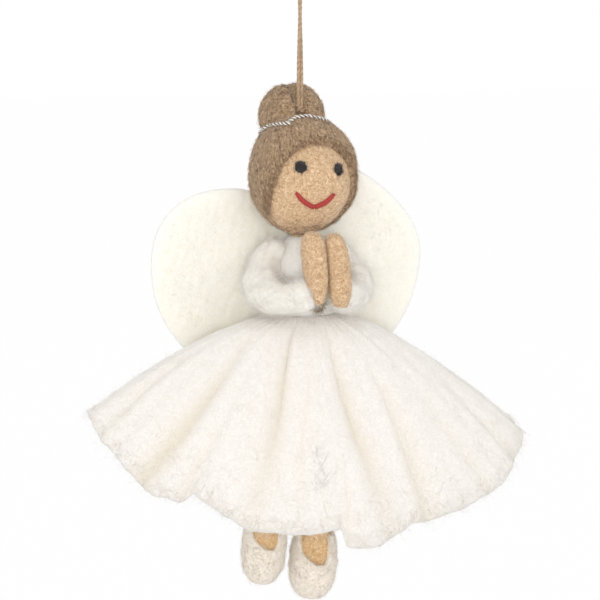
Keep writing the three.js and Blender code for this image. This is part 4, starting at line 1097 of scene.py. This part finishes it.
white_thread = thread_finish("white_thread", dye(214, 210, 204), dye(250, 248, 244))
waist_ring = ring_path(TORSO_TOP + [0, 0, -WAIST_THREAD_DROP], WAIST_THREAD_RADIUS, 160)
waist_thread = twine_piece("waist_thread_ring", waist_ring, Z_AXIS, THREAD_DIAMETER, THREAD_LAY, white_thread,
                           THREAD_SIDES)
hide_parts("waist_thread")
hip_line = np.linspace(TORSO_TOP + [-HIP_THREAD_HALF, 0, -HIP_DROP],
                       TORSO_TOP + [HIP_THREAD_HALF, 0, -HIP_DROP], 60)
hip_thread = twine_piece("hip_thread_run", hip_line, Z_AXIS, THREAD_DIAMETER, THREAD_LAY, white_thread,
                         THREAD_SIDES)
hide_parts("hip_thread")

# Wings: a heart of thick cream felt, cut in two halves that are sewn to the back of the chest along their
# straight edges. Their upper edges are cut away round the hair.
WING_ORIGIN = np.array([0, 8.344, -103.02])
WING_UP = np.array([0, -0.1910, 0.9816])
WING_BACK = np.array([0, 0.9816, 0.1910])
WING_THICK = 2.5
SEAM_HALF_GAP = 0.45
SEAM_FOOT = -12
SEAM_TOP = 8
WING_CURVES = {
    "left": [
        [(SEAM_HALF_GAP, 12), (8, 24), (16, 31.5), (22, 31)],
        [(22, 31), (31, 26), (46, 14), (46, 1)],
        [(46, 1), (46, -16), (42, -32), (SEAM_HALF_GAP, -55)],
        [(SEAM_HALF_GAP, -55), (SEAM_HALF_GAP, -33), (SEAM_HALF_GAP, -10), (SEAM_HALF_GAP, 12)],
    ],
    "right": [
        [(SEAM_HALF_GAP, 12), (7, 20), (13, 26), (23.5, 26)],
        [(23.5, 26), (38, 26), (48.5, 17), (48.5, 3)],
        [(48.5, 3), (48.5, -18), (38, -32), (SEAM_HALF_GAP, -55)],
        [(SEAM_HALF_GAP, -55), (SEAM_HALF_GAP, -33), (SEAM_HALF_GAP, -10), (SEAM_HALF_GAP, 12)],
    ],
}
WING_MIDDLE = np.array([16.0, -4.0])
HAIR_ROOM_HEIGHT = 30.33
HAIR_ROOM_RADIUS = 16.4
HAIR_PRESS = 1.3


def wing_outline(side, count=70):
    """The four cubic curves of a half heart, with points inside the hair's circle moved out to it."""
    t = np.linspace(0, 1, count, endpoint=False)[:, None]
    curves = [(1 - t) ** 3 * a + 3 * t * (1 - t) ** 2 * b + 3 * t**2 * (1 - t) * c + t**3 * d
              for a, b, c, d in np.array(WING_CURVES[side])]
    outline = np.concatenate(curves)
    from_hair = outline - [0, HAIR_ROOM_HEIGHT]
    far = np.linalg.norm(from_hair, axis=1, keepdims=True)
    return [0, HAIR_ROOM_HEIGHT] + from_hair * np.maximum(HAIR_ROOM_RADIUS / far, 1)


def wing_grid(side, sign, rows=34):
    """Front face from the middle out to the edge, back face from the edge in. The edge is rounded, and soft
    waves stir both faces alike, with a finer felted unevenness on each. The hair presses its edge back."""
    outline = wing_outline(side)
    share = np.linspace(0.02, 1, rows)[:, None] ** 0.8
    flat = WING_MIDDLE + share[..., None] * (outline - WING_MIDDLE)
    half = WING_THICK / 2 * (1 - share**14) ** 0.5 + 0 * flat[..., 0]
    ragged = np.concatenate([flat, 0 * flat[..., :1]], axis=2)
    stir = 0.35 * waves(ragged, 26, 91 + sign) * np.clip(flat[..., 0] / 12, 0, 1)
    from_hair = np.linalg.norm(flat - [0, HAIR_ROOM_HEIGHT], axis=2) - HAIR_ROOM_RADIUS
    stir = stir + HAIR_PRESS * np.exp(-((from_hair / 4) ** 2))
    front = WING_THICK / 2 + stir - half * (1 + 0.08 * waves(ragged, 4, 93 + sign))
    back = WING_THICK / 2 + stir + half * (1 + 0.08 * waves(ragged, 4, 95 + sign))
    deep = np.concatenate([front, back[::-1]])
    flat = np.concatenate([flat, flat[::-1]])
    return (WING_ORIGIN + sign * flat[..., :1] * X_AXIS + flat[..., 1:] * WING_UP
            + deep[..., None] * WING_BACK)


wing_felt = felt_finish("wing_felt", dye(247, 241, 228), dye(254, 250, 242), depth=0.2, loose=0.6)
wing_fibre = felt_finish("wing_fibre", dye(250, 246, 233), dye(255, 253, 247))
for side, sign in (("left", 1), ("right", -1)):
    heart = wing_grid(side, sign)
    wing = skin(f"{side}_wing_felt", heart, wing_felt)
    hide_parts(f"{side}_wing")
    nap = fuzz(f"{side}_wing_nap", heart[2:29], 1100, 4.5, 0.035, wing_fibre, seed=97 + sign, outward=-sign,
               rise=0.1, curl=0.4)
    back_nap = fuzz(f"{side}_wing_back_nap", heart[39:-2], 1100, 4.5, 0.035, wing_fibre, seed=117 + sign,
                    outward=-sign, rise=0.1, curl=0.4)
    belong(f"{side}_wing", "wing_felt", wing, nap, back_nap)
seam = np.linspace(WING_ORIGIN + SEAM_FOOT * WING_UP, WING_ORIGIN + SEAM_TOP * WING_UP, 70)
seam = seam + WING_THICK / 2 * WING_BACK
wing_thread = twine_piece("wing_thread_run", seam, X_AXIS, THREAD_DIAMETER, THREAD_LAY, white_thread,
                          THREAD_SIDES)
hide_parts("wing_thread")
belong("torso", "white_thread", waist_thread, hip_thread, wing_thread)

# Legs and slippers: felted legs that hang toes down, each foot in a slipper of pale felt flecked with
# brown. The slipper is open over the instep, where the skin shows, and its rim is rolled.
HIP_PLACE = np.array([8.25, 0, -HIP_DROP])
LEG_LEAN_BACK = math.radians(5.3)
# Side of the figure, length down to the foot, lean aside, and girth of the slipper.
LEGS = {"left": (1, 61.8, math.radians(1.8), 1.02), "right": (-1, 55.8, math.radians(2.8), 0.94)}
FOOT_LENGTH = 20.5
SLIPPER_OUTLINE = [[0.2, -25.2], [3.6, -24.4], [6.5, -20.6], [7.8, -13], [7.1, -5], [5.6, 0]]
SLIPPER_LINING = [[0.2, -21], [2.4, -20.4], [4.6, -17.6], [5.8, -11.5], [5.1, -4.7], [3.6, 0]]
RIM_DROP = 3
MOUTH_DEPTH = 11
MOUTH_TURN = -0.32
MOUTH_HALF = 0.92


def leg_axes(lean):
    """The leg's own three directions: leaned aside about Y, then back about X."""
    cos, sin = math.cos(LEG_LEAN_BACK), math.sin(LEG_LEAN_BACK)
    side = np.array([math.cos(lean), math.sin(lean) * sin, -math.sin(lean) * cos])
    back = np.array([0, cos, sin])
    return np.stack([side, back, np.cross(side, back)])


def leg_grid(length, rows=90, columns=44):
    """A turned limb from the domed hip to the ankle, then the egg of the foot below it."""
    outline = [
        [0.3, 3.4], [2.4, 2.4], [3.4, 0], [3.8, -length / 3], [3.2, -2 * length / 3], [4.2, 2 - length],
        [5.5, -length - 4], [6.0, -length - 11], [3.6, -length - 18.4], [0.3, -length - FOOT_LENGTH],
    ]
    return turned(outline, np.zeros(3), rows, columns, 0.12, 5, 101)


def slipper_grid(length, girth, rows=40, columns=72):
    """Outer wall from the toe up to the rim, over the rolled rim, and down the lining to the toe. The rim
    dips at the front in a rounded notch that is deeper on the figure's left."""
    angle = np.linspace(-np.pi, np.pi, columns, endpoint=False)[None]
    across = np.clip((angle - MOUTH_TURN) / MOUTH_HALF, -1, 1)
    notch = (1 - across**4) ** 0.6 * (0.8 + 0.28 * across)
    rim = -RIM_DROP - MOUTH_DEPTH * notch + 0.25 * np.sin(5 * angle) + 0.15 * np.sin(11 * angle + 1)
    outer, inner = smooth_path(SLIPPER_OUTLINE, 120), smooth_path(SLIPPER_LINING, 120)
    share = np.linspace(0, 1, rows)[:, None] ** 0.9
    up_outer = outer[0, 1] + (rim - outer[0, 1]) * share
    up_inner = inner[0, 1] + (rim - 0.1 - inner[0, 1]) * share
    wall = np.interp(up_outer, outer[:, 1], outer[:, 0])
    lining = np.interp(up_inner, inner[:, 1], inner[:, 0])
    middle_wall = (wall[-1:] + lining[-1:]) / 2
    roll_up = up_outer[-1:] + 0.75
    radius = np.concatenate([wall, middle_wall + 0.7, middle_wall - 0.7, lining[::-1]])
    up = np.concatenate([up_outer, roll_up, roll_up, up_inner[::-1]]) - length
    way = np.stack([np.sin(angle), -np.cos(angle), 0 * angle], axis=2)
    grid = girth * radius[..., None] * way + up[..., None] * Z_AXIS
    return grid + (0.16 * waves(grid, 5, 103))[..., None] * way * np.clip(radius / 3, 0, 1)[..., None], rows


slipper_felt = felt_finish("slipper_felt", dye(238, 226, 209), dye(253, 246, 236), depth=0.25,
                           fleck=dye(212, 184, 148))
slipper_fibre = felt_finish("slipper_fibre", dye(248, 240, 228), dye(255, 251, 244))
instep_felt = felt_finish("instep_felt", dye(208, 165, 113), dye(242, 212, 168), fleck=dye(190, 140, 90))
for side, (sign, length, lean, girth) in LEGS.items():
    axes = leg_axes(lean)
    hip = TORSO_TOP + HIP_PLACE * [sign, 1, 1]
    limb_grid = leg_grid(length) @ axes + hip
    leg = skin(f"{side}_leg_limb", limb_grid, instep_felt)
    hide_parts(f"{side}_leg")
    limb = limb_grid[4:-4]
    leg_fuzz = fuzz(f"{side}_leg_fuzz", limb, 500, 2.2, 0.05, skin_dark, seed=105 + sign, rise=0.15)
    shoe, shoe_rows = slipper_grid(length, girth)
    shoe = shoe @ axes + hip
    slipper = skin(f"{side}_slipper_shell", shoe, slipper_felt)
    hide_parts(f"{side}_slipper")
    wall = shoe[2:shoe_rows + 2]
    shoe_fuzz = fuzz(f"{side}_slipper_fuzz", wall, 1300, 3.0, 0.055, slipper_fibre, seed=108 + sign, rise=0.3)
    shoe_dark = fuzz(f"{side}_slipper_flecks", wall, 200, 1.8, 0.04, tuft_fibre, seed=111 + sign, rise=0.12)
    belong(f"{side}_leg", "skin_felt", leg, leg_fuzz)
    belong(f"{side}_leg", "slipper_felt", slipper, shoe_fuzz, shoe_dark)
